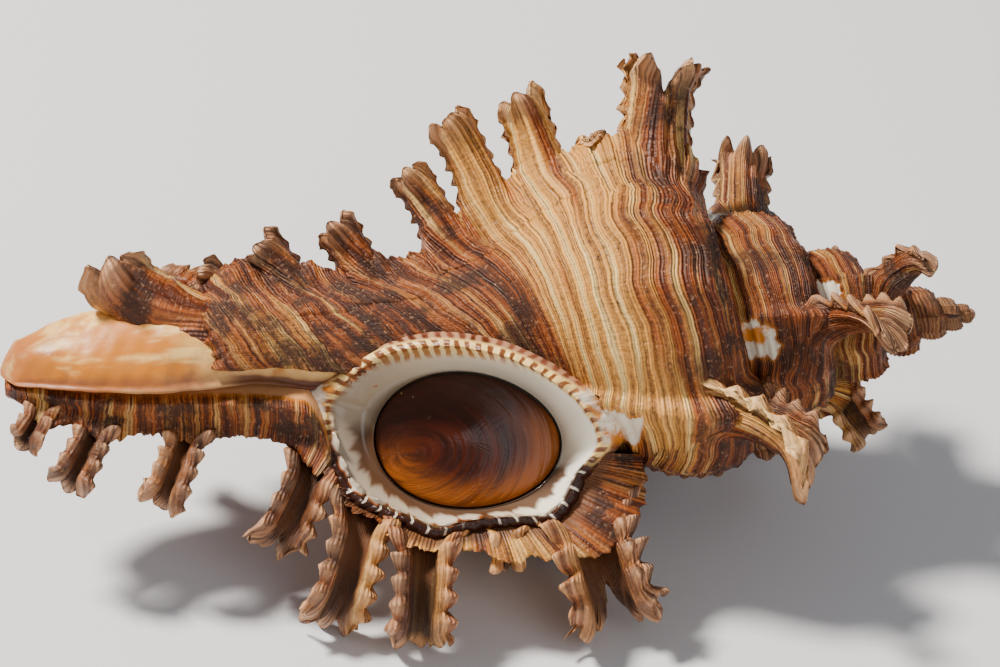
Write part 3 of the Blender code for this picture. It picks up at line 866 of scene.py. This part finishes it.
# Rings of the mouth from its skirt to its throat, as
# (out of the rim in its plane, share of the way in to the operculum, lift over the rim)
MOUTH_RINGS = np.array((
    (1.7, 0.00, -1.9), (1.25, 0.00, -0.9), (0.8, 0.00, -0.05), (0.4, 0.00, 0.36),
    (0.0, 0.00, 0.45), (0.0, 0.05, 0.28), (0.0, 0.10, 0.08), (0.0, 0.17, 0.0),
    (0.0, 0.28, -0.1), (0.0, 0.42, -0.3), (0.0, 0.58, -0.6), (0.0, 0.74, -0.9),
    (0.0, 0.87, -0.8), (0.0, 0.96, -0.4), (0.0, 1.00, 0.0),
))  # fmt: skip
THROAT_LEVEL = 4.3
MOUTH_COLUMNS, MOUTH_ROWS = 560, 84


def build_mouth(material):
    """The raised rim and the enamelled bowl of the mouth, down past the operculum's edge.

    Each ring mixes the rim's crest with the operculum's outline. Teeth stand on the outer
    lip and fine folds cross the rim on the other side, both as waves round the rim.
    """
    round_share = np.linspace(0, 1, MOUTH_COLUMNS, endpoint=False)
    crest = closed_curve(RIM, round_share)
    spokes = crest[:, :2] - BOWL_MIDDLE
    bearing = np.arctan2(spokes[:, 1], spokes[:, 0])
    outward = unit(spokes)
    inner = np.stack(operculum_outline(bearing, 0.22), axis=-1)
    step = np.linspace(0, 1, MOUTH_ROWS)[:, None]
    rings = smooth_curve(np.linspace(0, 1, len(MOUTH_RINGS)), MOUTH_RINGS, step[:, 0])
    out_by, share, lift = rings.T[..., None]
    length = np.cumsum(np.linalg.norm(np.diff(crest, axis=0, append=crest[:1]), axis=1))
    lip = smoothstep(round_share, 0.0, 0.04) * smoothstep(round_share, 0.53, 0.48)
    uneven = length + 0.35 * ripple(0.9 * length, 2.3 * length)
    teeth = np.abs(np.sin(np.pi * uneven / 2.6)) ** 1.3
    folds = 0.5 + 0.5 * np.sin(2 * np.pi * uneven / 0.98)
    notches = np.abs(np.sin(np.pi * uneven / 1.25)) ** 0.6
    ledge = bell(round_share, 0.065, 0.60)
    corner = bell((round_share + 0.515) % 1, 0.035, 0.5)
    wide = ledge + corner
    out_by = out_by * (0.8 + 0.35 * notches * lip + 1.3 * wide)
    plane = crest[None, :, :2] + outward[None] * out_by[..., None]
    lift = lift * (1 + 0.9 * wide * (step < 0.11))
    tooth_band = bell(step, 0.055, 0.47)
    fold_band = bell(step, 0.06, 0.33)
    share = np.clip(share + 0.10 * tooth_band * teeth * lip, 0, 1)
    plane = plane * (1 - share[..., None]) + inner[None] * share[..., None]
    level = crest[:, 2] * (1 - share**1.5) + THROAT_LEVEL * share**1.5
    level = level + lift + 1.0 * tooth_band * teeth * lip
    level = level + 0.22 * fold_band * folds * (1 - 0.7 * lip)
    level = level + 0.12 * (step < 0.3) * ripple(2.3 * length, 9 * step)
    gap = np.linalg.norm(crest[:, :2] - inner, axis=1)
    inset = share * gap - out_by / (1 + 1.3 * wide)
    well = np.linspace(0, 1, 12)[1:, None]
    centre = np.array(OPERCULUM_CENTRE[:2])
    shrink = 1 - smoothstep(well, 0.35, 1.0) * 0.999
    deep = centre + (inner[None] - centre) * shrink[..., None]
    depth = THROAT_LEVEL - 3.4 * np.sqrt(well) + 0 * length
    plane = np.concatenate((plane, deep))
    level = np.concatenate((level, depth))
    points = from_mouth(plane[..., 0], plane[..., 1], level)
    faces = grid_faces(*level.shape, wrapped=True)
    values = on_grid(
        level.shape,
        ring=np.concatenate((step, 1 + well)),
        around=length,
        lip=lip,
        teeth=teeth,
        ledge=wide,
        inset=np.concatenate((inset, gap + 3 * well)),
    )
    add_mesh("mouth", points, faces, values, material, "shell")


def build_operculum(material):
    """The horny door: a thin dished lens with raised growth lines round an off-centre start.

    Out of its plane it is the square root of 1 - r^2 times its half thickness, less a dish.
    """
    turn = np.linspace(0, 2 * np.pi, 128, endpoint=False)
    polar = np.linspace(0.0, np.pi, 100)[:, None]
    r = np.sin(polar)
    edge_x, edge_down = operculum_outline(turn)
    x = OPERCULUM_CENTRE[0] + (edge_x - OPERCULUM_CENTRE[0]) * r
    down = OPERCULUM_CENTRE[1] + (edge_down - OPERCULUM_CENTRE[1]) * r
    start_x, start_down = OPERCULUM_START
    from_start = np.hypot((x - start_x) / 15.5, (down - start_down) / 11.5)
    turn_there = np.arctan2(down - start_down, x - STREAK_CENTRE_X)
    lines = ripple(118 * from_start, 2 * turn_there) + 0.6 * ripple(61 * from_start, turn_there)
    upper = smoothstep(polar, 1.7, 1.4)
    lift = OPERCULUM_HALF[2] * np.cos(polar) * (1 - 0.2 * np.cos(polar) * r)
    hump = 0.55 * np.exp(-(((x - 43.0) / 3.2) ** 2) - ((down - 8.6) / 2.2) ** 2)
    lift = lift + upper * (hump + 0.035 * lines * smoothstep(r, 1, 0.9))
    points = from_mouth(x, down, OPERCULUM_CENTRE[2] + lift)
    # low grows towards the lower and right edge; the horn paints light there and shade at the top
    right = 0.3 * (x - OPERCULUM_CENTRE[0]) / OPERCULUM_HALF[0]
    low = (down - OPERCULUM_CENTRE[1]) / OPERCULUM_HALF[1] + right
    values = on_grid(lift.shape, start=from_start, turn=turn_there, edge=r, low=low)
    faces = turned_out(points.reshape(-1, 3), grid_faces(*lift.shape, wrapped=True))
    add_mesh("operculum_door", points, faces, values, material, "operculum")


# Materials


# Colour sockets of a Mix node, which stand after those for numbers and vectors
MIX_FIRST, MIX_SECOND, MIX_RESULT = 6, 7, 2


class Wiring:
    """Adds nodes to a tree and links them, by short calls."""

    def __init__(self, tree):
        self.tree = tree

    def node(self, kind, inputs=(), **options):
        made = self.tree.nodes.new(kind)
        for key, value in options.items():
            setattr(made, key, value)
        for key, value in dict(inputs).items():
            self.feed(made.inputs[key], value)
        return made

    def feed(self, socket, value):
        """Links a socket or a node's first output, or sets a number, a vector or a colour."""
        if isinstance(value, bpy.types.Node):
            value = value.outputs[0]
        if isinstance(value, bpy.types.NodeSocket):
            self.tree.links.new(value, socket)
        elif socket.type == "RGBA":
            socket.default_value = (*value, 1.0)
        else:
            socket.default_value = value

    def attribute(self, name):
        return self.node("ShaderNodeAttribute", attribute_name=name).outputs["Fac"]

    def math(self, operation, *values, clamp=False):
        inputs = dict(enumerate(values))
        return self.node("ShaderNodeMath", inputs, operation=operation, use_clamp=clamp).outputs[0]

    def plus(self, first, second, clamp=False):
        return self.math("ADD", first, second, clamp=clamp)

    def minus(self, first, second):
        return self.math("SUBTRACT", first, second)

    def times(self, first, second):
        return self.math("MULTIPLY", first, second)

    def most(self, first, second):
        return self.math("MAXIMUM", first, second)

    def wave(self, value, pitch):
        """A sine that repeats each time the value grows by the pitch."""
        return self.math("SINE", self.times(value, 2 * math.pi / pitch))

    def remap(self, value, low, high, to_low=0.0, to_high=1.0):
        """A smooth step between two levels, from low to high."""
        inputs = {"Value": value, 1: low, 2: high, 3: to_low, 4: to_high}
        return self.node(
            "ShaderNodeMapRange", inputs, interpolation_type="SMOOTHSTEP"
        ).outputs[0]

    def combine(self, x=0.0, y=0.0, z=0.0):
        return self.node("ShaderNodeCombineXYZ", {"X": x, "Y": y, "Z": z}).outputs[0]

    def noise(self, vector, scale, detail=3.0, roughness=0.55):
        inputs = {"Vector": vector, "Scale": scale, "Detail": detail, "Roughness": roughness}
        return self.node("ShaderNodeTexNoise", inputs).outputs["Fac"]

    def mix(self, share, first, second):
        """The first colour where the share is 0 and the second where it is 1."""
        inputs = {"Factor": share, MIX_FIRST: first, MIX_SECOND: second}
        return self.node("ShaderNodeMix", inputs, data_type="RGBA").outputs[MIX_RESULT]

    def object_place(self):
        return self.node("ShaderNodeTexCoord").outputs["Object"]


def new_group(name, inputs):
    """An empty node group's wiring, and its inputs, each given with its kind of socket."""
    group = bpy.data.node_groups.new(name, "ShaderNodeTree")
    for key, kind in inputs.items():
        group.interface.new_socket(key, in_out="INPUT", socket_type=f"NodeSocket{kind}")
    w = Wiring(group)
    return w, w.node("NodeGroupInput").outputs


def closed_group(w, outputs):
    """The node group of a wiring, with its named values put out."""
    for name in outputs:
        w.tree.interface.new_socket(name, in_out="OUTPUT", socket_type="NodeSocketFloat")
    w.node("NodeGroupOutput", outputs)
    return w.tree


def cord_lines_group():
    """Lines that run along the cords, from a cord coordinate and a growth coordinate in mm.

    Lines is the share of fine dark lines, Light that of the pale crests between them, Bands
    sorts the cords into paler and darker ones, Flecks breaks up the darkest lines and Height
    is a fine relief.
    """
    w, given = new_group("cord_lines", {"Cord": "Float", "Growth": "Float"})
    cord, growth = given["Cord"], given["Growth"]

    def stretched(across, along, offset):
        """Place on the cords, with a scale of its own across and along them."""
        return w.combine(w.times(cord, across), w.times(growth, along), offset)

    drift = w.minus(w.noise(stretched(0.40, 0.08, 0.0), 1.0, 0.5), 0.5)
    shifted = w.plus(cord, w.times(drift, 1.1))
    wide = w.wave(shifted, 2.1)
    middle = w.wave(shifted, 0.78)
    fine = w.wave(shifted, 0.34)
    bands = w.noise(stretched(0.42, 0.035, 7.0), 1.0, 2.0, 0.5)
    strength = w.remap(w.noise(stretched(1.1, 0.05, 3.0), 1.0, 2.0), 0.36, 0.60, 0.40, 1.0)
    main_line = w.times(w.remap(wide, 0.25, 0.85), w.remap(bands, 0.3, 0.6, 0.45, 1.0))
    thin_line = w.times(w.remap(middle, 0.25, 0.85), strength)
    hair = w.times(w.remap(fine, 0.2, 0.9), 0.5)
    worn = w.noise(stretched(4.2, 0.10, 13.0), 1.0, 3.0, 0.6)
    lines = w.most(w.most(main_line, thin_line), hair)
    lines = w.plus(lines, w.remap(worn, 0.55, 0.72, 0.0, 0.5), clamp=True)
    light = w.times(w.remap(wide, -0.2, -0.8), w.remap(bands, 0.56, 0.40))
    flecks = w.remap(w.noise(stretched(2.4, 1.1, 11.0), 1.0, 4.0, 0.7), 0.52, 0.66)
    scales = w.noise(stretched(0.8, 3.2, 5.0), 1.0, 4.0)
    height = w.plus(w.times(fine, 0.5), w.times(scales, 1.6))
    outputs = {"Lines": lines, "Light": light, "Bands": bands, "Flecks": flecks}
    return closed_group(w, {**outputs, "Height": height})


def wear_group():
    """Worn patches and a fine grain of any surface, from its place in the object."""
    w, given = new_group("wear", {"Place": "Vector"})
    place = given["Place"]
    patches = w.noise(place, 260.0, 5.0, 0.6)
    zones = w.noise(place, 75.0, 3.0, 0.5)
    grain = w.noise(place, 2600.0, 3.0, 0.6)
    return closed_group(w, {"Patches": patches, "Zones": zones, "Grain": grain})


def new_material(name):
    """A material with an empty wiring and its shader."""
    made = bpy.data.materials.new(name)
    made.use_nodes = True
    return made, Wiring(made.node_tree), made.node_tree.nodes["Principled BSDF"]


def placed_group(w, name, make, inputs):
    """Outputs of a node that uses the group of that name, which is made at its first use."""
    group = bpy.data.node_groups.get(name) or make()
    return w.node("ShaderNodeGroup", inputs, node_tree=group).outputs


def placed_wear(w):
    """Patches, zones and grain of wear in a material."""
    wear = placed_group(w, "wear", wear_group, {"Place": w.object_place()})
    return wear["Patches"], wear["Zones"], wear["Grain"]


def finish_shader(w, shader, base, roughness, specular, bump, height):
    """Gives a shader its colour, roughness and specular level, and its bump as (strength,
    depth in metres) of a height."""
    w.feed(shader.inputs["Base Color"], base)
    w.feed(shader.inputs["Roughness"], roughness)
    shader.inputs["Specular IOR Level"].default_value = specular
    strength, depth = bump
    raised = w.node("ShaderNodeBump", {"Strength": strength, "Distance": depth, "Height": height})
    w.feed(shader.inputs["Normal"], raised)


def corded_material(colours):
    """Cream and amber shell with russet lines, channels darkened by painted shade and rosy tips."""
    made, w, shader = new_material("corded_shell")
    cord, growth = w.attribute("cord"), w.attribute("growth")
    tip, channel, callus = w.attribute("tip"), w.attribute("channel"), w.attribute("callus")
    cords = placed_group(w, "cord_lines", cord_lines_group, {"Cord": cord, "Growth": growth})
    lines, flecks = cords["Lines"], cords["Flecks"]
    patches, zones, grain = placed_wear(w)
    zones = w.remap(zones, 0.38, 0.62)
    # Dusky is 0 in the middle of the last whorl, and rises towards the canal, the suture
    # and the older turns. Towards the older turns it is partly painted shade.
    from_middle = w.math("ABSOLUTE", w.minus(cord, 19.5))
    dusky = w.most(w.remap(from_middle, 4.0, 12.5), w.remap(growth, 5.0, -12.0, 0.0, 0.72))
    bands = w.plus(cords["Bands"], w.remap(dusky, 0.0, 1.0, -0.12, 0.10))
    ground = w.mix(w.remap(bands, 0.38, 0.60), colours.honey, colours.amber)
    pale = w.times(cords["Light"], w.remap(dusky, 0.0, 1.0, 1.0, 0.7))
    base = w.mix(pale, ground, colours.cream)
    dull = w.times(w.times(dusky, 0.75), w.remap(zones, 0.0, 1.0, 0.25, 1.0))
    base = w.mix(dull, base, colours.amber)
    shade = w.times(lines, w.remap(dusky, 0.0, 1.0, 0.66, 0.97))
    base = w.mix(shade, base, colours.russet)
    # Stains and worn spots
    dark_bands = w.times(w.remap(bands, 0.60, 0.72), w.remap(dusky, 0.0, 1.0, 0.25, 0.8))
    spots = w.most(w.times(flecks, lines), dark_bands)
    base = w.mix(w.times(spots, w.remap(zones, 0.0, 1.0, 0.35, 0.95)), base, colours.umber)
    stain = w.times(w.remap(patches, 0.48, 0.62, 0.0, 0.85), dusky)
    base = w.mix(stain, base, colours.umber)
    chalk = w.times(w.remap(patches, 0.40, 0.30, 0.0, 0.5), flecks)
    base = w.mix(chalk, base, colours.rose)
    grains = w.times(w.remap(grain, 0.50, 0.62), lines)
    base = w.mix(w.times(grains, 0.5), base, colours.umber)
    base = w.mix(w.remap(grain, 0.42, 0.32, 0.0, 0.3), base, colours.rose)
    # Rosy tips, and dark channels of the fronds, darkest deep in their hollows as painted shade
    tip_lines = w.minus(1.0, w.times(lines, 0.75))
    base = w.mix(w.times(w.times(tip_lines, tip), 0.8), base, colours.rose)
    inside = w.mix(zones, colours.umber, colours.sepia)
    base = w.mix(w.times(channel, w.remap(tip, 1.0, 0.6, 0.15, 0.92)), base, inside)
    # Smooth callus, enamel white with an apricot border
    glossy = w.mix(w.remap(patches, 0.56, 0.66), colours.enamel, colours.apricot)
    glossy = w.mix(w.remap(callus, 0.9, 0.5), glossy, colours.apricot)
    glossy = w.mix(w.remap(cord, 28.0, 32.0, 0.0, 0.8), glossy, colours.apricot)
    base = w.mix(callus, base, glossy)
    satin = w.remap(patches, 0.3, 0.7, 0.36, 0.60)
    roughness = w.minus(satin, w.times(callus, 0.18))
    height = w.plus(cords["Height"], w.times(grain, 0.7))
    height = w.times(height, w.minus(1.0, callus))
    finish_shader(w, shader, base, roughness, 0.32, (0.7, 0.00013), height)
    return made


def glaze_material(colours):
    """The canal's smooth apricot glaze with long pale streaks, pinkish brown at its borders, and
    painted shade under the corded fan.
    """
    made, w, shader = new_material("canal_glaze")
    patches, zones, _ = placed_wear(w)
    stretch = {0: w.object_place(), 1: (60.0, 330.0, 330.0)}
    drawn_out = w.node("ShaderNodeVectorMath", stretch, operation="MULTIPLY")
    streaks = w.remap(w.noise(drawn_out, 1.0, 3.0), 0.48, 0.60, 0.0, 0.75)
    pale = w.most(w.remap(zones, 0.52, 0.62, 0.0, 0.45), streaks)
    base = w.mix(pale, colours.apricot, colours.cream)
    base = w.mix(w.remap(patches, 0.48, 0.62, 0.0, 0.8), base, colours.apricot)
    base = w.mix(w.remap(patches, 0.42, 0.32, 0.0, 0.35), base, colours.rust)
    border = w.times(w.attribute("edge"), w.remap(patches, 0.3, 0.6, 1.0, 0.6))
    base = w.mix(w.times(border, 0.85), base, colours.rust)
    # Painted shade under the corded fan
    base = w.mix(w.attribute("dark"), base, colours.russet)
    roughness = w.remap(patches, 0.3, 0.7, 0.36, 0.58)
    finish_shader(w, shader, base, roughness, 0.3, (0.6, 0.00025), patches)
    return made


def mouth_material(colours):
    """White enamel inside a rim that is dark on the outer lip, and elsewhere rosy and spotted. The
    wall carries painted light towards the spire and painted shade towards the canal, under the lip
    and deep down.
    """
    made, w, shader = new_material("mouth_enamel")
    ring, length, lip = w.attribute("ring"), w.attribute("around"), w.attribute("lip")
    inset, teeth = w.attribute("inset"), w.attribute("teeth")
    patches, zones, _ = placed_wear(w)
    # Rosy fluted margin with drop-like spots, on the whorl's side
    bent = w.plus(length, w.times(zones, 3.0))
    bent = w.plus(bent, w.times(patches, 1.6))
    beat = w.wave(bent, 1.12)
    spot = w.remap(w.plus(beat, w.times(zones, 2.4)), 0.9, 1.6)
    ends = w.minus(w.times(zones, 3.4), 0.9)
    spot = w.times(spot, w.remap(w.minus(inset, ends), 0.45, -0.35))
    spot = w.times(spot, w.remap(inset, -0.75, -0.45))
    margin = w.mix(w.remap(patches, 0.4, 0.6), colours.russet, colours.rust)
    margin = w.mix(w.remap(beat, -0.8, 0.9, 0.0, 0.6), margin, colours.rose)
    denticles = w.mix(w.remap(inset, 0.0, 1.4), colours.cream, colours.enamel)
    inside = w.mix(w.remap(inset, -0.9, -0.5), margin, denticles)
    drops = w.mix(w.remap(inset, -0.2, 1.0), colours.spot, colours.amber)
    inside = w.mix(w.times(spot, 0.95), inside, drops)
    ledge = w.remap(w.attribute("ledge"), 0.3, 0.6)
    glossy = w.mix(w.remap(patches, 0.46, 0.56), colours.enamel, colours.apricot)
    inside = w.mix(w.times(ledge, w.remap(inset, 0.1, -0.3)), inside, glossy)
    # Dark lip with white teeth
    edge = w.plus(inset, w.times(teeth, 0.45))
    edge = w.plus(edge, w.times(w.minus(patches, 0.5), 0.7))
    outer = w.mix(w.remap(edge, 0.45, 0.75), colours.rim, colours.amber)
    outer = w.mix(w.remap(edge, 0.62, 0.88), outer, colours.enamel)
    marks = w.wave(length, 1.7)
    marks = w.times(w.remap(marks, 0.86, 0.94), w.remap(zones, 0.44, 0.52))
    marks = w.times(marks, w.remap(edge, -0.35, -0.1))
    outer = w.mix(w.times(marks, 0.85), outer, colours.enamel)
    base = w.mix(lip, inside, outer)
    # Wall of the bowl: white towards the spire, partly painted light, and tan towards the canal
    # and deep under the lip, partly a stain and partly painted shade
    creamy = w.times(w.remap(zones, 0.42, 0.62), w.remap(ring, 0.36, 0.46))
    base = w.mix(w.times(creamy, 0.2), base, colours.cream)
    along = w.node("ShaderNodeSeparateXYZ", {0: w.object_place()}).outputs["X"]
    wall = w.remap(ring, 0.36, 0.50)
    # Painted light: the wall grows whiter towards the spire, partly the enamel's own white
    base = w.mix(w.times(wall, w.remap(along, -0.003, 0.008)), base, colours.pearl_and_light)
    # Painted shade: the wall goes tan towards the canal, partly a real stain
    tan_and_shade = w.times(wall, w.remap(along, -0.001, -0.014, 0.0, 0.68))
    base = w.mix(tan_and_shade, base, colours.dun_and_shade)
    depth = w.minus(ring, w.times(teeth, 0.09))
    # Painted shade under the outer lip and deeper in the bowl, partly a real tan stain
    wall_stain_and_shade = w.times(w.remap(depth, 0.59, 0.69), w.times(lip, 0.95))
    wall_stain_and_shade = w.most(wall_stain_and_shade, w.remap(ring, 0.70, 1.0, 0.0, 0.6))
    base = w.mix(wall_stain_and_shade, base, colours.dun_and_shade)
    roughness = w.remap(ring, 0.25, 0.5, 0.34, 0.14)
    finish_shader(w, shader, base, roughness, 0.33, (0.25, 0.0001), patches)
    return made


def horn_material(colours):
    """Glossy brown horn with streaks along its growth lines, amber at its lower and right edge,
    where painted light brightens it, and with painted shade over its top.
    """
    made, w, shader = new_material("operculum_horn")
    start, edge, low = w.attribute("start"), w.attribute("edge"), w.attribute("low")
    patches, _, _ = placed_wear(w)
    turned = w.times(w.attribute("turn"), 0.9)
    coarse = w.noise(w.combine(w.times(start, 11.0), turned), 1.0, 3.0, 0.6)
    fine = w.noise(w.combine(w.times(start, 60.0), turned, 4.0), 1.0, 3.0, 0.6)
    near_edge = w.remap(edge, 0.45, 0.95)
    # Painted light: the horn's own amber margin is brighter towards the lower and right side
    lit = w.times(near_edge, w.remap(low, -0.5, 0.35, 0.12, 1.0))
    lit = w.times(lit, w.remap(coarse, 0.30, 0.60, 0.35, 1.0))
    base = w.mix(w.remap(coarse, 0.35, 0.65), colours.rim, colours.horn)
    base = w.mix(w.times(lit, 0.9), base, colours.resin)
    base = w.mix(w.remap(fine, 0.58, 0.75, 0.0, 0.35), base, colours.rim)
    # Painted shade: the upper part goes dark, as under the overhanging wall of the mouth
    base = w.mix(w.remap(low, 0.15, -0.7, 0.0, 0.85), base, colours.rim)
    dots = w.remap(w.noise(w.object_place(), 1500.0, 1.0), 0.72, 0.78, 0.0, 0.35)
    base = w.mix(w.times(dots, near_edge), base, colours.cream)
    roughness = w.remap(patches, 0.35, 0.65, 0.14, 0.26)
    height = w.plus(fine, w.times(patches, 0.5))
    finish_shader(w, shader, base, roughness, 0.25, (0.5, 0.00012), height)
    return made


def material_of(name, make):
    """The material of that name, made at its first use."""
    return bpy.data.materials.get(name) or make(settings()[1])


def corded():
    """The material that all the rough parts of the shell share."""
    return material_of("corded_shell", corded_material)


# Operators


def settings():
    """The sizes, the colours and the stage's settings."""
    scene = bpy.context.scene
    return scene.murex_sizes, scene.murex_colours, scene.murex_stage


class MUREX_OT_last_whorl(bpy.types.Operator):
    """Build the last whorl with its cords and ridges"""

    bl_idname = "murex.last_whorl"
    bl_label = "Last Whorl"

    def execute(self, context):
        build_last_whorl(settings()[0], corded())
        return {"FINISHED"}


class MUREX_OT_spire(bpy.types.Operator):
    """Build the older whorls up to the apex"""

    bl_idname = "murex.spire"
    bl_label = "Spire"

    def execute(self, context):
        build_spire(settings()[0], corded())
        return {"FINISHED"}


class MUREX_OT_fronds(bpy.types.Operator):
    """Build the fronds of every varix"""

    bl_idname = "murex.fronds"
    bl_label = "Fronds"

    def execute(self, context):
        sizes = settings()[0]
        names = (("fronds_lip", 2.3), ("fronds_back", 1.2), ("fronds_top", 1.0))
        for (name, curl), (angle, fronds) in zip(names, frond_rows()):
            build_fronds(name, angle, fronds, curl, sizes, corded())
        build_spire_fronds(sizes, corded())
        return {"FINISHED"}


class MUREX_OT_canal(bpy.types.Operator):
    """Build the canal's smooth side and the ends of earlier canals"""

    bl_idname = "murex.canal"
    bl_label = "Canal"

    def execute(self, context):
        build_canal(material_of("canal_glaze", glaze_material))
        build_old_canals(settings()[0], corded())
        return {"FINISHED"}


class MUREX_OT_mouth(bpy.types.Operator):
    """Build the mouth's rim, teeth and enamel"""

    bl_idname = "murex.mouth"
    bl_label = "Mouth"

    def execute(self, context):
        build_mouth(material_of("mouth_enamel", mouth_material))
        return {"FINISHED"}


class MUREX_OT_operculum(bpy.types.Operator):
    """Build the operculum"""

    bl_idname = "murex.operculum"
    bl_label = "Operculum"

    def execute(self, context):
        build_operculum(material_of("operculum_horn", horn_material))
        return {"FINISHED"}


def add_area_light(name, place, size, power, colour):
    """A round lamp that shines on the camera's target."""
    light = bpy.data.lights.new(name, "AREA")
    light.shape = "DISK"
    light.size = size
    light.energy = power
    light.color = colour
    lamp = bpy.data.objects.new(name, light)
    bpy.context.collection.objects.link(lamp)
    lamp.location = place
    lamp.rotation_euler = (CAMERA_TARGET - Vector(place)).to_track_quat("-Z", "Y").to_euler()


def add_camera(stage):
    """The camera, on a sphere round its target."""
    azimuth, elevation = stage.camera_azimuth, stage.camera_elevation
    flat = math.cos(elevation)
    back = Vector((math.sin(azimuth) * flat, -math.cos(azimuth) * flat, math.sin(elevation)))
    lens = bpy.data.cameras.new("camera")
    camera = bpy.data.objects.new("camera", lens)
    bpy.context.collection.objects.link(camera)
    camera.location = CAMERA_TARGET + back * stage.camera_distance
    camera.rotation_euler = (-back).to_track_quat("-Z", "Y").to_euler()
    lens.angle = stage.camera_view
    lens.clip_start = 0.01
    bpy.context.scene.camera = camera


def add_floor():
    """A plain pale square that the shell lies on."""
    mesh = bpy.data.meshes.new("floor")
    reach = FLOOR_REACH
    corners = [(-reach, -reach, 0), (reach, -reach, 0), (reach, reach, 0), (-reach, reach, 0)]
    mesh.from_pydata(corners, [], [(0, 1, 2, 3)])
    floor = bpy.data.objects.new("floor", mesh)
    bpy.context.collection.objects.link(floor)
    made, w, shader = new_material("pale_floor")
    w.feed(shader.inputs["Base Color"], FLOOR_COLOUR)
    w.feed(shader.inputs["Roughness"], 0.7)
    mesh.materials.append(made)


class MUREX_OT_stage(bpy.types.Operator):
    """Set up the floor, the lights and the camera"""

    bl_idname = "murex.stage"
    bl_label = "Stage"

    def execute(self, context):
        stage = settings()[2]
        add_camera(stage)
        add_floor()
        for name, place, size, share, colour in LIGHTS:
            add_area_light(name, place, size, share * stage.key_power, colour)
        world = bpy.data.worlds.new("studio")
        world.use_nodes = True
        sky = world.node_tree.nodes["Background"].inputs
        sky["Color"].default_value = (*SKY_COLOUR, 1.0)
        sky["Strength"].default_value = SKY_STRENGTH
        context.scene.world = world
        return {"FINISHED"}


class MUREX_PT_panel(bpy.types.Panel):
    """Steps and settings of the shell"""

    bl_idname = "MUREX_PT_panel"
    bl_label = "Murex Shell"
    bl_space_type = "VIEW_3D"
    bl_region_type = "UI"
    bl_category = "Murex"

    def draw(self, context):
        for operator in OPERATORS:
            self.layout.operator(operator.bl_idname)
        for group in settings():
            for key in group.bl_rna.properties.keys():
                if key not in ("rna_type", "name"):
                    self.layout.prop(group, key)


GROUPS = {"murex_sizes": ShellSizes, "murex_colours": ShellColours, "murex_stage": StageSettings}
OPERATORS = (
    MUREX_OT_last_whorl,
    MUREX_OT_spire,
    MUREX_OT_fronds,
    MUREX_OT_canal,
    MUREX_OT_mouth,
    MUREX_OT_operculum,
    MUREX_OT_stage,
)


def register():
    """Add the settings, the operators and the panel."""
    for key, group in GROUPS.items():
        bpy.utils.register_class(group)
        setattr(bpy.types.Scene, key, bpy.props.PointerProperty(type=group))
    for made in (*OPERATORS, MUREX_PT_panel):
        bpy.utils.register_class(made)


def unregister():
    """Remove the panel, the operators and the settings."""
    for made in reversed((*OPERATORS, MUREX_PT_panel)):
        bpy.utils.unregister_class(made)
    for key, group in reversed(GROUPS.items()):
        delattr(bpy.types.Scene, key)
        bpy.utils.unregister_class(group)


def main():
    """Make the shell and its stage."""
    register()
    bpy.ops.murex.last_whorl()
    bpy.ops.murex.spire()
    bpy.ops.murex.fronds()
    bpy.ops.murex.canal()
    bpy.ops.murex.mouth()
    bpy.ops.murex.operculum()
    bpy.ops.murex.stage()
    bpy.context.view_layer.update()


if __name__ == "__main__":
    main()
